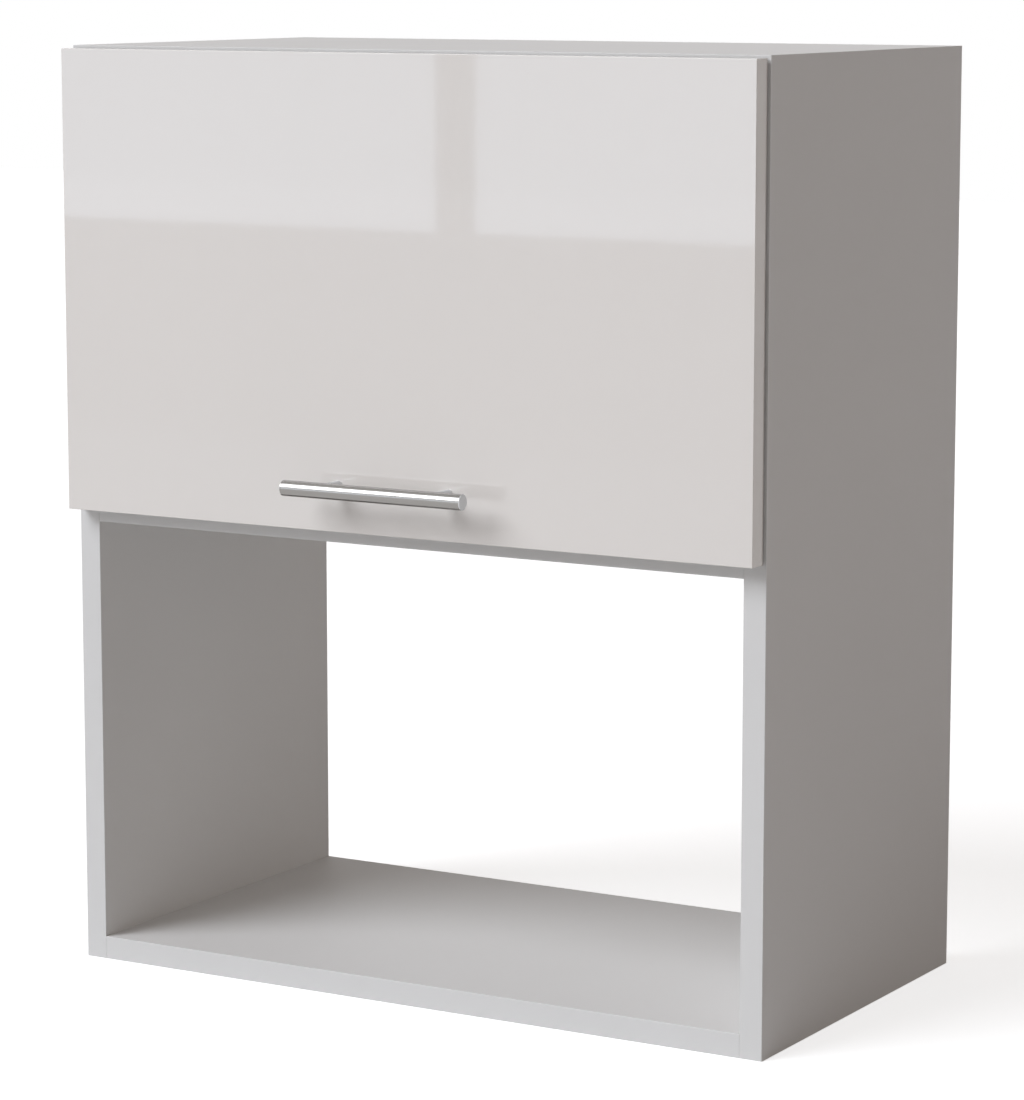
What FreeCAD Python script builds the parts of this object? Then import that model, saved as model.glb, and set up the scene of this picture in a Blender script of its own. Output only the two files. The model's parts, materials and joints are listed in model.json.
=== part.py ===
import FreeCAD, Part
import os
import re

import Sketcher
from FreeCAD import Rotation, Vector

# Wall-hung microwave cabinet: an open niche below, a closed compartment with a
# lift-up flap above. Millimetres, +Z up, +Y towards the wall, origin at the
# centre of the underside.

# Driving sizes
SIZES = (
    ("cabinet_width", 600, "outside width of the carcass"),
    ("cabinet_height", 720, "outside height of the carcass"),
    ("cabinet_depth", 324, "depth of the carcass without the flap"),
    ("board", 18, "chipboard thickness of the carcass panels"),
    ("band", 1, "thickness of the front edge bands"),
    ("niche_height", 333, "clear height of the open niche"),
    ("back_thickness", 3, "hardboard back panel"),
    ("back_inset", 18, "back panel's rear face, in from the carcass back"),
    ("groove_depth", 8, "depth of the grooves that hold the back panel"),
    ("fit", 0.05, "clearance of pieces that are pressed or screwed in"),
    ("play", 0.3, "clearance of pieces that move"),
    ("door_thickness", 16, "flap thickness with its film"),
    ("door_gap", 2, "air between the flap and the carcass front"),
    ("door_reveal", 2, "flap edge, in from the carcass outline at sides and top"),
    ("door_lap", 7, "how far the flap hangs below the shelf's top face"),
    ("door_swing", 85, "opening angle of the flap, degrees"),
    ("film", 0.4, "gloss film on the flap's front and edges"),
    ("door_round", 1.2, "rounding of the flap's front edges"),
    ("bumper_radius", 4, "door bumper"),
    ("bumper_drop", 22, "bumper centre above the flap's bottom edge"),
    ("handle_length", 156, "handle bar, end to end"),
    ("handle_radius", 6, "handle bar"),
    ("handle_chamfer", 0.5, "broken edge at the handle bar's ends"),
    ("handle_pitch", 96, "distance between the handle posts"),
    ("handle_standoff", 29, "bar axis in front of the flap"),
    ("handle_rise", 35, "bar axis above the flap's bottom edge"),
    ("post_radius", 4, "handle post"),
    ("handle_thread", 10, "depth of the screw in the handle post"),
    ("cam_radius", 7.5, "cam lock"),
    ("cam_recess", 0.5, "cam lock below the panel's face"),
    ("cam_floor", 0.5, "pocket depth past the bolt's bore"),
    ("cam_slot", 2, "depth of the cam's driver slot"),
    ("cam_slot_length", 9, "driver slot along"),
    ("cam_slot_width", 1.6, "driver slot across"),
    ("cam_inset", 34, "cam axis in from the panel's end"),
    ("bolt_bore", 4, "radius of the bolt's bore in the panel's end"),
    ("bolt_radius", 3.4, "cam bolt's shaft"),
    ("bolt_overrun", 2, "cam bolt's end past the cam axis"),
    ("thread_radius", 2.5, "cam bolt's thread in the side panel"),
    ("thread_length", 11, "cam bolt's thread in the side panel"),
    ("dowel_radius", 4, "wooden dowel"),
    ("dowel_in_side", 12, "dowel depth in the side panel"),
    ("dowel_in_end", 18, "dowel depth in the panel's end"),
    ("fastener_inset", 50, "cam bolts, in from the front and back edges"),
    ("dowel_pitch", 32, "dowel beside its cam bolt"),
    ("screw_radius", 1.75, "shank of the wood screws"),
    ("screw_length", 12, "wood screw in the board"),
    ("screw_head_radius", 3.6, "wood screw"),
    ("screw_head", 2.2, "height of the wood screw's head"),
    ("hinge_inset", 84, "hinge centre in from the side panel's inner face"),
    ("pivot_depth", 10.5, "hinge pin in from the flap's back face"),
    ("pivot_from_top", 6, "hinge pin below the flap's top edge"),
    ("pin_radius", 1.1, "hinge pin"),
    ("eye_radius", 2, "hinge arm's eye round the pin"),
    ("arm_thickness", 2.4, "hinge arm"),
    ("arm_bend", 2.5, "inside bend of the hinge arm's elbow"),
    ("arm_drop", 8, "hinge arm's mid plane below the top panel"),
    ("neck_width", 7, "hinge arm's goose neck"),
    ("channel_width", 14, "hinge arm's rear channel"),
    ("channel_wall", 1.8, "sides of the rear channel"),
    ("channel_height", 4.5, "height of the rear channel's sides"),
    ("channel_start", 16, "rear channel behind the carcass front"),
    ("channel_length", 46, "rear channel"),
    ("plate_thickness", 2, "steel plate of brackets and hinge plates"),
    ("plate_width", 46, "hinge plate across"),
    ("plate_length", 28, "hinge plate front to back"),
    ("plate_setback", 24, "hinge plate behind the carcass front"),
    ("plate_corner", 6, "corner radius of the plates"),
    ("plate_pitch", 32, "distance between the hinge plate's screws"),
    ("arm_screw_radius", 2.2, "hinge arm's fixing screw"),
    ("arm_screw_head", 4, "head radius of the hinge arm's fixing screw"),
    ("cup_radius", 17.4, "hinge cup"),
    ("cup_edge", 3, "hinge cup's bore from the flap's top edge"),
    ("cup_wall", 1.2, "hinge cup's wall and floor"),
    ("flange", 1.2, "hinge cup's flange on the flap"),
    ("wing_width", 60, "hinge cup's flange, tip to tip"),
    ("wing_height", 15, "hinge cup's flange"),
    ("wing_corner", 6, "corner radius of the hinge cup's flange"),
    ("wing_pitch", 48, "distance between the hinge cup's screws"),
    ("wing_drop", 6, "hinge cup's screws below the cup centre"),
    ("cheek", 2.6, "hinge cup's ears that hold the pin"),
    ("strut_inset", 18, "strut axis in from the side panel's inner face"),
    ("strut_lean", 26.4, "slope of the shut strut, degrees"),
    ("strut_door_setback", 24, "strut's upper stud behind the flap"),
    ("strut_door_drop", 58, "strut's upper stud below the flap's top edge"),
    ("tube_radius", 7.5, "strut cylinder"),
    ("tube_wall", 1, "strut cylinder"),
    ("tube_floor", 3, "closed end of the strut cylinder"),
    ("gland", 8, "rod guide in the mouth of the strut cylinder"),
    ("rod_radius", 3, "strut rod"),
    ("rod_showing", 11, "rod left showing when the strut is pushed in"),
    ("piston", 8, "piston on the strut rod"),
    ("stub_radius", 2.5, "threaded stub in the end socket"),
    ("socket_reach", 22, "ball centre to the end of the socket"),
    ("socket_radius", 6.5, "socket round the ball"),
    ("socket_width", 12, "socket round the ball"),
    ("socket_neck", 4.5, "socket round the stub"),
    ("ball_radius", 5, "ball stud"),
    ("stud_neck", 2.6, "ball stud's neck"),
    ("stud_flange", 2, "ball stud's flange"),
    ("bracket_width", 22, "strut's side bracket"),
    ("bracket_height", 50, "strut's side bracket"),
    ("bracket_pitch", 34, "screws of the strut's side bracket"),
    ("ear_gap", 6, "door bracket's ear from the side panel"),
    ("ear_margin", 8, "door bracket's ear past the stud"),
    ("door_plate_width", 32, "door bracket on the flap"),
    ("door_plate_height", 44, "door bracket on the flap"),
    ("door_plate_pitch", 28, "screws of the door bracket"),
    ("door_screw_inset", 20, "screws of the door bracket, in from its ear"),
    ("hanger_width", 18, "hanger housing from the side panel"),
    ("hanger_depth", 42, "hanger housing front to back"),
    ("hanger_height", 62, "hanger housing"),
    ("hanger_gap", 6, "hanger housing below the top panel"),
    ("hanger_wall", 2.2, "hanger housing"),
    ("hanger_round", 2, "rounded edges of the hanger housing"),
    ("boss_radius", 4, "screw boss in the hanger housing"),
    ("boss_merge", 1, "how far the screw boss runs into the housing's rear wall"),
    ("boss_pitch", 40, "distance between the hanger's fixing screws"),
    ("hook_inset", 6, "hook from the side panel's inner face"),
    ("hook_thickness", 2.5, "hook plate"),
    ("hook_height", 12, "hook arm"),
    ("hook_lip", 4, "hook's turned-down end"),
    ("hook_drop", 14, "hook's end below its arm"),
    ("hook_round", 3.5, "rounded upper corner of the hook"),
    ("notch_clear", 5, "notch in the back panel below the hook"),
    ("hook_clear", 1.5, "hook's end in from the carcass back"),
    ("hook_travel", 5, "height setting of the hook, up and down"),
    ("nut_height", 5, "hook's threaded lug"),
    ("nut_depth", 9, "hook's threaded lug"),
    ("spindle_radius", 2, "height screw"),
    ("spindle_head_radius", 3.5, "height screw"),
    ("spindle_head", 2.5, "height screw"),
    ("spindle_slot", 1, "height screw's driver slot"),
    ("collar_radius", 3.1, "height screw's collar inside the housing"),
    ("collar", 1.2, "thickness of the height screw's collar"),
)

# Planes and lines that pieces share, as formulas of the sizes
FRONT = "(-cabinet_depth / 2)"
BACK = "(cabinet_depth / 2)"
SIDE = "(cabinet_width / 2)"
INSIDE = "(cabinet_width / 2 - board)"
CEILING = "(cabinet_height - board)"
SHELF_BASE = "(board + niche_height)"
SHELF_TOP = "(2 * board + niche_height)"
BACK_FACE = "(cabinet_depth / 2 - back_inset)"
BACK_FRONT = "(cabinet_depth / 2 - back_inset - back_thickness)"
DOOR_BACK = f"({FRONT} - door_gap)"
DOOR_FRONT = f"({DOOR_BACK} - door_thickness)"
DOOR_TOP = "(cabinet_height - door_reveal)"
DOOR_BASE = f"({SHELF_TOP} - door_lap)"
DOOR_SIDE = f"({SIDE} - door_reveal)"
BAR_Y = f"({DOOR_FRONT} - handle_standoff)"
BAR_Z = f"({DOOR_BASE} + handle_rise)"
PIVOT_Y = f"({DOOR_BACK} - pivot_depth)"
PIVOT_Z = f"({DOOR_TOP} - pivot_from_top)"
ARM_Z = f"({CEILING} - arm_drop)"
PLATE_Y = f"({FRONT} + plate_setback + plate_length / 2)"
CUP_DEPTH = "(pivot_depth + eye_radius + 2 * play)"
CUP_Z = f"({DOOR_TOP} - cup_edge - cup_radius - fit)"
SLOT = "(neck_width + 2 * play)"
CAM_POCKET = "(board / 2 + bolt_bore + cam_floor)"
STRUT_X = f"({INSIDE} - strut_inset)"
STUD_Y = f"({DOOR_BACK} + strut_door_setback)"
STUD_Z = f"({DOOR_TOP} - strut_door_drop)"

# The upper stud moves by RISE_Y, RISE_Z when the flap opens. The shut strut is as
# long as its stroke and its ends together, so its length solves a quadratic.
LEVER_Y = "(strut_door_setback + pivot_depth)"
LEVER_Z = "(pivot_from_top - strut_door_drop)"
RISE_Y = f"({LEVER_Y} * (cos(door_swing) - 1) + {LEVER_Z} * sin(door_swing))"
RISE_Z = f"({LEVER_Z} * (cos(door_swing) - 1) - {LEVER_Y} * sin(door_swing))"
STRUT_ENDS = "(2 * socket_reach + 3 * tube_floor + piston + gland + rod_showing)"
STRUT_HALF = f"(2 * {STRUT_ENDS} - {RISE_Y} * cos(strut_lean) + {RISE_Z} * sin(strut_lean))"
STRUT_REST = f"(3 * (pow({STRUT_ENDS}; 2) - pow({RISE_Y}; 2) - pow({RISE_Z}; 2)))"
STRUT_LENGTH = f"(({STRUT_HALF} + sqrt(pow({STRUT_HALF}; 2) - {STRUT_REST})) / 3)"
BASE_Y = f"({STUD_Y} + {STRUT_LENGTH} * cos(strut_lean))"
BASE_Z = f"({STUD_Z} - {STRUT_LENGTH} * sin(strut_lean))"
EAR_OUT = f"({INSIDE} - ear_gap)"
EAR_IN = f"({EAR_OUT} - plate_thickness)"
HANGER_BACK = f"({BACK_FRONT} - fit)"
HANGER_FRONT = f"({HANGER_BACK} - hanger_depth)"
HANGER_TOP = f"({CEILING} - hanger_gap)"
HANGER_BASE = f"({HANGER_TOP} - hanger_height)"
HANGER_IN = f"({INSIDE} - hanger_width)"
HOOK_Z = f"({HANGER_TOP} - hanger_height / 2)"
HOOK_IN = f"({INSIDE} - hook_inset - hook_thickness)"
SPINDLE_X = f"(({HANGER_IN} + hanger_wall + {HOOK_IN}) / 2)"
SPINDLE_Y = f"({HANGER_FRONT} + hanger_wall + nut_depth / 2 + play)"

HANDS = (("left", -1), ("right", 1))
TURNS = {
    "x": Rotation(Vector(0, 1, 0), 90),
    "y": Rotation(Vector(1, 0, 0), -90),
    "z": Rotation(),
}

doc = FreeCAD.newDocument("microwave_cabinet")
sheet = doc.addObject("Spreadsheet::Sheet", "Sizes")
for row, (alias, size, note) in enumerate(SIZES, start=1):
    sheet.set(f"A{row}", note)
    sheet.set(f"B{row}", str(size))
    sheet.setAlias(f"B{row}", alias)
doc.recompute()

ALIAS = re.compile(r"\b(" + "|".join(alias for alias, size, note in SIZES) + r")\b")
nodes = []


# Helpers

def expand(formula):
    """The formula with every size read from the sheet."""
    return ALIAS.sub(r"Sizes.\1", formula)


def number(formula):
    """What the formula gives now."""
    result = sheet.evalExpression(expand(formula))
    return float(getattr(result, "Value", result))


def tie(piece, prop, formula):
    """Bind a property of the piece to a formula of the sizes."""
    piece.setExpression(prop, expand(formula))


def node(name, piece):
    """Name the piece and put it on the list that is written out."""
    piece.Label = name
    nodes.append(piece)
    return piece


def mirror(hand, formula):
    """The formula on the left or right of the middle plane."""
    return formula if hand > 0 else f"-({formula})"


def across(hand, near, far):
    """A span in x that lies on the left or right of the middle plane."""
    return (near, far) if hand > 0 else (f"-({far})", f"-({near})")


def about(middle, size):
    """A span of the given size about a middle."""
    return f"{middle} - ({size}) / 2", f"{middle} + ({size}) / 2"


def block(name, x, y, z):
    """A box between two formulas along each axis."""
    piece = doc.addObject("Part::Box", name)
    for side, axis, (low, high) in zip(("Length", "Width", "Height"), "xyz", (x, y, z)):
        tie(piece, side, f"({high}) - ({low})")
        tie(piece, f"Placement.Base.{axis}", low)
    return piece


def bar(name, radius, axis, span, centre):
    """A round bar along x, y or z, with the other two coordinates of its axis."""
    piece = doc.addObject("Part::Cylinder", name)
    piece.Placement = FreeCAD.Placement(Vector(), TURNS[axis])
    low, high = span
    tie(piece, "Radius", radius)
    tie(piece, "Height", f"({high}) - ({low})")
    tie(piece, f"Placement.Base.{axis}", low)
    for other, formula in zip("xyz".replace(axis, ""), centre):
        tie(piece, f"Placement.Base.{other}", formula)
    return piece


def join(name, pieces):
    """Several overlapping pieces made one."""
    piece = doc.addObject("Part::MultiFuse", name)
    piece.Shapes = pieces
    piece.Refine = True
    return piece


def carve(name, blank, tools):
    """The blank with the tools cut out of it."""
    piece = doc.addObject("Part::Cut", name)
    piece.Base = blank
    piece.Tool = join(name + "_tools", tools) if len(tools) > 1 else tools[0]
    return piece


def group(name, pieces):
    """Separate pieces of one kind, kept as separate solids in one node."""
    piece = doc.addObject("Part::Compound", name)
    piece.Links = pieces
    return node(name, piece)


def new_body(name):
    return doc.addObject("PartDesign::Body", name)


def sketch(body, name, plane, offset="0"):
    """A sketch on one of the body's own planes, moved along the plane's normal."""
    drawing = body.newObject("Sketcher::SketchObject", name)
    support = next(item for item in body.Origin.OriginFeatures if item.Role == plane)
    drawing.AttachmentSupport = [(support, "")]
    drawing.MapMode = "FlatFace"
    tie(drawing, "AttachmentOffset.Base.z", offset)
    return drawing


def hold(drawing, geometry, point, u, v):
    """Keep a point of the sketch at two formulas from the sketch's origin."""
    for kind, formula in (("DistanceX", u), ("DistanceY", v)):
        rule = Sketcher.Constraint(kind, -1, 1, geometry, point, number(formula))
        index = drawing.addConstraint(rule)
        drawing.setExpression(f"Constraints[{index}]", expand(formula))


def outline(drawing, points):
    """A closed outline of straight lines through points given as formulas."""
    spots = [Vector(number(u), number(v), 0) for u, v in points]
    lines = [drawing.addGeometry(Part.LineSegment(start, end))
             for start, end in zip(spots, spots[1:] + spots[:1])]
    for line, following in zip(lines, lines[1:] + lines[:1]):
        drawing.addConstraint(Sketcher.Constraint("Coincident", line, 2, following, 1))
    for line, (u, v) in zip(lines, points):
        hold(drawing, line, 1, u, v)
    return drawing


def circle(drawing, u, v, radius):
    """A circle about a point given as formulas."""
    centre = Vector(number(u), number(v), 0)
    ring = drawing.addGeometry(Part.Circle(centre, Vector(0, 0, 1), number(radius)))
    hold(drawing, ring, 3, u, v)
    index = drawing.addConstraint(Sketcher.Constraint("Radius", ring, number(radius)))
    drawing.setExpression(f"Constraints[{index}]", expand(radius))
    return drawing


def rectangle(drawing, u, v):
    """A rectangle between two formulas each way."""
    return outline(drawing, [(u[0], v[0]), (u[1], v[0]), (u[1], v[1]), (u[0], v[1])])


def pad(body, drawing, length, both=False, reverse=False):
    """Material along the sketch's normal, or to both sides of the sketch."""
    feature = body.newObject("PartDesign::Pad", drawing.Name + "_pad")
    feature.Profile = drawing
    feature.SideType = "Symmetric" if both else "One side"
    feature.Reversed = reverse
    tie(feature, "Length", length)
    doc.recompute()
    return feature


def pocket(body, drawing, length, both=False, reverse=False):
    """A cut against the sketch's normal, or to both sides of the sketch."""
    before = body.Shape.Volume
    feature = body.newObject("PartDesign::Pocket", drawing.Name + "_pocket")
    feature.Profile = drawing
    feature.SideType = "Symmetric" if both else "One side"
    feature.Reversed = reverse
    tie(feature, "Length", length)
    doc.recompute()
    if body.Shape.Volume >= before:
        raise ValueError(f"{feature.Name} cuts nothing")
    return feature


def soften(body, kind, prop, size, picks):
    """Round or chamfer those edges of the body that the test picks."""
    doc.recompute()
    base = body.Tip
    names = [f"Edge{index}" for index, edge in enumerate(base.Shape.Edges, start=1) if picks(edge)]
    feature = body.newObject(f"PartDesign::{kind}", f"{body.Name}_{kind.lower()}_{len(body.Group)}")
    feature.Base = (base, names)
    tie(feature, prop, size)
    doc.recompute()
    return feature


def passes(edge, **place):
    """Whether the middle of the edge lies at the given formulas."""
    middle = edge.CenterOfMass
    return all(abs(getattr(middle, axis) - number(formula)) < 1e-4 for axis, formula in place.items())


def runs_along(edge, axis):
    """Whether the edge is straight and runs along x, y or z."""
    if not isinstance(edge.Curve, Part.Line):
        return False
    return abs(abs(getattr(edge.Curve.Direction, axis)) - 1) < 1e-6


def rounded_plate(body, name, plane, offset, u, v, thickness, corner, reverse=False):
    """A flat plate with four round corners."""
    pad(body, rectangle(sketch(body, name, plane, offset), u, v), thickness, reverse=reverse)
    axis = {"XY_Plane": "z", "XZ_Plane": "y", "YZ_Plane": "x"}[plane]
    soften(body, "Fillet", "Radius", corner, lambda edge: runs_along(edge, axis))
    return body


def wood_screw(name, axis, way, seat, grip, centre):
    """A pan-head screw: head on the seat, shank through the grip into the board."""
    head = (seat, f"{seat} + screw_head") if way < 0 else (f"{seat} - screw_head", seat)
    deep = f"({grip} + screw_length)"
    shank = (f"{seat} - {deep}", seat) if way < 0 else (seat, f"{seat} + {deep}")
    return join(name, [
        bar(name + "_head", "screw_head_radius", axis, head, centre),
        bar(name + "_shank", "screw_radius", axis, shank, centre),
    ])


def screw_hole(name, axis, way, seat, grip, centre):
    """The hole that a wood screw goes into."""
    deep = f"({grip} + screw_length + fit)"
    span = (f"{seat} - {deep}", seat) if way < 0 else (seat, f"{seat} + {deep}")
    return bar(name, "screw_radius + fit", axis, span, centre)


def screw_holes(name, places):
    """One hole for each place of a wood screw."""
    return [screw_hole(f"{name}_{index}", *place) for index, place in enumerate(places)]


# Where the wood screws go: axis, way, seat, grip and the other two coordinates

def pair(pitch):
    """The offsets of two screws to either side of a middle."""
    return f"- {pitch} / 2", f"+ {pitch} / 2"


def side_bracket_screws(hand):
    seat = mirror(hand, f"{INSIDE} - plate_thickness")
    return [("x", hand, seat, "plate_thickness", (BASE_Y, f"{BASE_Z} {step}"))
            for step in pair("bracket_pitch")]


def door_bracket_screws(hand):
    x = mirror(hand, f"{EAR_OUT} - door_screw_inset")
    seat = f"{DOOR_BACK} + plate_thickness"
    return [("y", -1, seat, "plate_thickness", (x, f"{STUD_Z} {step}"))
            for step in pair("door_plate_pitch")]


def hinge_x(hand):
    return mirror(hand, f"({INSIDE} - hinge_inset)")


def hinge_plate_screws(hand):
    seat = f"{CEILING} - plate_thickness"
    return [("z", 1, seat, "plate_thickness", (f"{hinge_x(hand)} {step}", PLATE_Y))
            for step in pair("plate_pitch")]


def hinge_cup_screws(hand):
    seat = f"{DOOR_BACK} + flange"
    z = f"{CUP_Z} - wing_drop"
    return [("y", -1, seat, "flange", (f"{hinge_x(hand)} {step}", z)) for step in pair("wing_pitch")]


def hanger_screws(hand):
    seat = mirror(hand, HANGER_IN)
    y = f"{HANGER_BACK} - hanger_wall - boss_radius + boss_merge"
    return [("x", hand, seat, "hanger_width", (y, f"{HOOK_Z} {step}")) for step in pair("boss_pitch")]


# Carcass panels: base height, face that takes the cams, way from that face into the board

LEVELS = {
    "bottom_panel": ("0", "0", 1),
    "middle_shelf": (SHELF_BASE, SHELF_TOP, -1),
    "top_panel": (CEILING, CEILING, 1),
}
BOLT_ROWS = [f"{way} * (cabinet_depth / 2 - fastener_inset)" for way in (-1, 1)]
DOWEL_ROWS = [f"{way} * (cabinet_depth / 2 - fastener_inset - dowel_pitch)" for way in (-1, 1)]
BOARD_DEPTH = (f"{FRONT} + band", BACK)
GROOVE = (f"{BACK_FRONT} - fit", f"{BACK_FACE} + fit")


def inward(face, way, near, far):
    """A span in z, measured from a face into the board."""
    if way > 0:
        return f"{face} + ({near})", f"{face} + ({far})"
    return f"{face} - ({far})", f"{face} - ({near})"


def cross_panel(name):
    """A panel between the sides: cam pockets, end bores and the back panel's groove."""
    base, face, way = LEVELS[name]
    middle = f"{base} + board / 2"
    blank = block(name + "_blank", (f"-{INSIDE}", INSIDE), BOARD_DEPTH, (base, f"{base} + board"))
    tools = []
    for side, hand in HANDS:
        cam_x = mirror(hand, f"{INSIDE} - cam_inset")
        for index, y in enumerate(BOLT_ROWS):
            tag = f"{name}_{side}_{index}"
            depth = inward(face, way, "0", CAM_POCKET)
            tools.append(bar(tag + "_cam", "cam_radius + fit", "z", depth, (cam_x, y)))
            span = across(hand, f"{INSIDE} - cam_inset", INSIDE)
            tools.append(bar(tag + "_bolt", "bolt_bore", "x", span, (y, middle)))
        for index, y in enumerate(DOWEL_ROWS):
            span = across(hand, f"{INSIDE} - dowel_in_end - fit", INSIDE)
            tools.append(bar(f"{name}_{side}_{index}_dowel", "dowel_radius", "x", span, (y, middle)))
    if name != "bottom_panel":
        depth = inward(face, way, "0", "groove_depth")
        tools.append(block(name + "_groove", (f"-{INSIDE}", INSIDE), GROOVE, depth))
    if name == "top_panel":
        for side, hand in HANDS:
            tools += screw_holes(f"{name}_{side}_pilot", hinge_plate_screws(hand))
    return node(name, carve(name, blank, tools))


def side_panel(side, hand):
    """A full-height side: bolt and dowel holes, stopped groove, pilot holes."""
    name = f"side_panel_{side}"
    blank = block(name + "_blank", across(hand, INSIDE, SIDE), BOARD_DEPTH, ("0", "cabinet_height"))
    tools = []
    for level, (base, face, way) in LEVELS.items():
        middle = f"{base} + board / 2"
        for index, y in enumerate(BOLT_ROWS):
            span = across(hand, INSIDE, f"{INSIDE} + thread_length + fit")
            tag = f"{name}_{level}_{index}"
            tools.append(bar(tag + "_bolt", "thread_radius + fit", "x", span, (y, middle)))
        for index, y in enumerate(DOWEL_ROWS):
            span = across(hand, INSIDE, f"{INSIDE} + dowel_in_side + fit")
            tools.append(bar(f"{name}_{level}_{index}_dowel", "dowel_radius", "x", span, (y, middle)))
    height = (f"{SHELF_TOP} - groove_depth", f"{CEILING} + groove_depth")
    width = across(hand, INSIDE, f"{INSIDE} + groove_depth")
    tools.append(block(name + "_groove", width, GROOVE, height))
    tools += screw_holes(name + "_pilot", side_bracket_screws(hand) + hanger_screws(hand))
    return node(name, carve(name, blank, tools))


def back_panel():
    """Hardboard in the grooves, with a notch at each upper corner for the hook."""
    reach = f"({INSIDE} + groove_depth - 2 * play)"
    low = f"{SHELF_TOP} - groove_depth + 2 * play"
    high = f"{CEILING} + groove_depth - 2 * play"
    blank = block("back_panel_blank", (f"-{reach}", reach), (BACK_FRONT, BACK_FACE), (low, high))
    notch_low = f"{HOOK_Z} - hook_height / 2 - hook_drop - hook_travel - notch_clear"
    notches = [block(f"back_panel_notch_{side}", across(hand, HANGER_IN, reach), (BACK_FRONT, BACK_FACE),
                     (notch_low, high)) for side, hand in HANDS]
    return node("back_panel", carve("back_panel", blank, notches))


def edge_bands():
    """Strips on the five front edges of the carcass."""
    front = (FRONT, f"{FRONT} + band")
    for side, hand in HANDS:
        name = f"edge_band_{side}"
        node(name, block(name, across(hand, INSIDE, SIDE), front, ("0", "cabinet_height")))
    for panel, (base, face, way) in LEVELS.items():
        name = "edge_band_" + panel.split("_")[0]
        node(name, block(name, (f"-{INSIDE}", INSIDE), front, (base, f"{base} + board")))


def knock_down_fittings():
    """Cam locks, cam bolts and dowels, four of each at every panel."""
    cams, bolts, dowels = [], [], []
    for level, (base, face, way) in LEVELS.items():
        middle = f"{base} + board / 2"
        for side, hand in HANDS:
            cam_x = mirror(hand, f"{INSIDE} - cam_inset")
            end = f"{INSIDE} - cam_inset - bolt_overrun"
            for index, y in enumerate(BOLT_ROWS):
                tag = f"{level}_{side}_{index}"
                height = inward(face, way, "cam_recess", f"{CAM_POCKET} - fit")
                seat = across(hand, f"{end} - play", f"{INSIDE} - cam_inset + 2 * cam_radius")
                slot = inward(face, way, "cam_recess", "cam_recess + cam_slot")
                slot_x, slot_y = about(cam_x, "cam_slot_length"), about(y, "cam_slot_width")
                drum = bar(f"cam_{tag}_drum", "cam_radius", "z", height, (cam_x, y))
                cams.append(carve(f"cam_{tag}", drum, [
                    bar(f"cam_{tag}_seat", "bolt_radius + play", "x", seat, (y, middle)),
                    block(f"cam_{tag}_slot", slot_x, slot_y, slot),
                ]))
                thread = across(hand, INSIDE, f"{INSIDE} + thread_length")
                bolts.append(join(f"bolt_{tag}", [
                    bar(f"bolt_{tag}_thread", "thread_radius", "x", thread, (y, middle)),
                    bar(f"bolt_{tag}_shaft", "bolt_radius", "x", across(hand, end, INSIDE), (y, middle)),
                ]))
            for index, y in enumerate(DOWEL_ROWS):
                span = across(hand, f"{INSIDE} - dowel_in_end", f"{INSIDE} + dowel_in_side")
                name = f"dowel_{level}_{side}_{index}"
                dowels.append(bar(name, "dowel_radius - fit", "x", span, (y, middle)))
    group("cam_locks", cams)
    group("cam_bolts", bolts)
    group("wooden_dowels", dowels)


# Wall hangers

def hanger_housing(side, hand):
    """A plastic box against the side panel, open towards it, with a slot for the hook."""
    name = f"hanger_housing_{side}"
    body = new_body(name + "_shell")
    x = across(hand, HANGER_IN, INSIDE)
    y = (HANGER_FRONT, HANGER_BACK)
    z = (HANGER_BASE, HANGER_TOP)
    pad(body, rectangle(sketch(body, name + "_outline", "YZ_Plane", x[0]), y, z), "hanger_width")
    soften(body, "Fillet", "Radius", "hanger_round", lambda edge: runs_along(edge, "x"))
    inner_y = (f"{HANGER_FRONT} + hanger_wall", f"{HANGER_BACK} - hanger_wall")
    inner_z = (f"{HANGER_BASE} + hanger_wall", f"{HANGER_TOP} - hanger_wall")
    inner_x = across(hand, f"{HANGER_IN} + hanger_wall", INSIDE)
    hollow = block(name + "_hollow", inner_x, inner_y, inner_z)
    slot_x = across(hand, f"{HOOK_IN} - play", f"{INSIDE} - hook_inset + play")
    slot_z = about(HOOK_Z, "hook_height + 2 * hook_travel + 2 * play")
    slot = block(name + "_slot", slot_x, (f"{HANGER_BACK} - hanger_wall", HANGER_BACK), slot_z)
    spindle = (mirror(hand, SPINDLE_X), SPINDLE_Y)
    hole = bar(name + "_hole", "spindle_radius + play", "z", (HANGER_BASE, inner_z[0]), spindle)
    pieces = [carve(name + "_box", body, [hollow, slot, hole])]
    boss = across(hand, f"{HANGER_IN} + hanger_wall / 2", INSIDE)
    for index, place in enumerate(hanger_screws(hand)):
        pieces.append(bar(f"{name}_boss_{index}", "boss_radius", "x", boss, place[-1]))
    holes = screw_holes(name + "_bore", hanger_screws(hand))
    return node(name, carve(name, join(name + "_body", pieces), holes))


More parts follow.
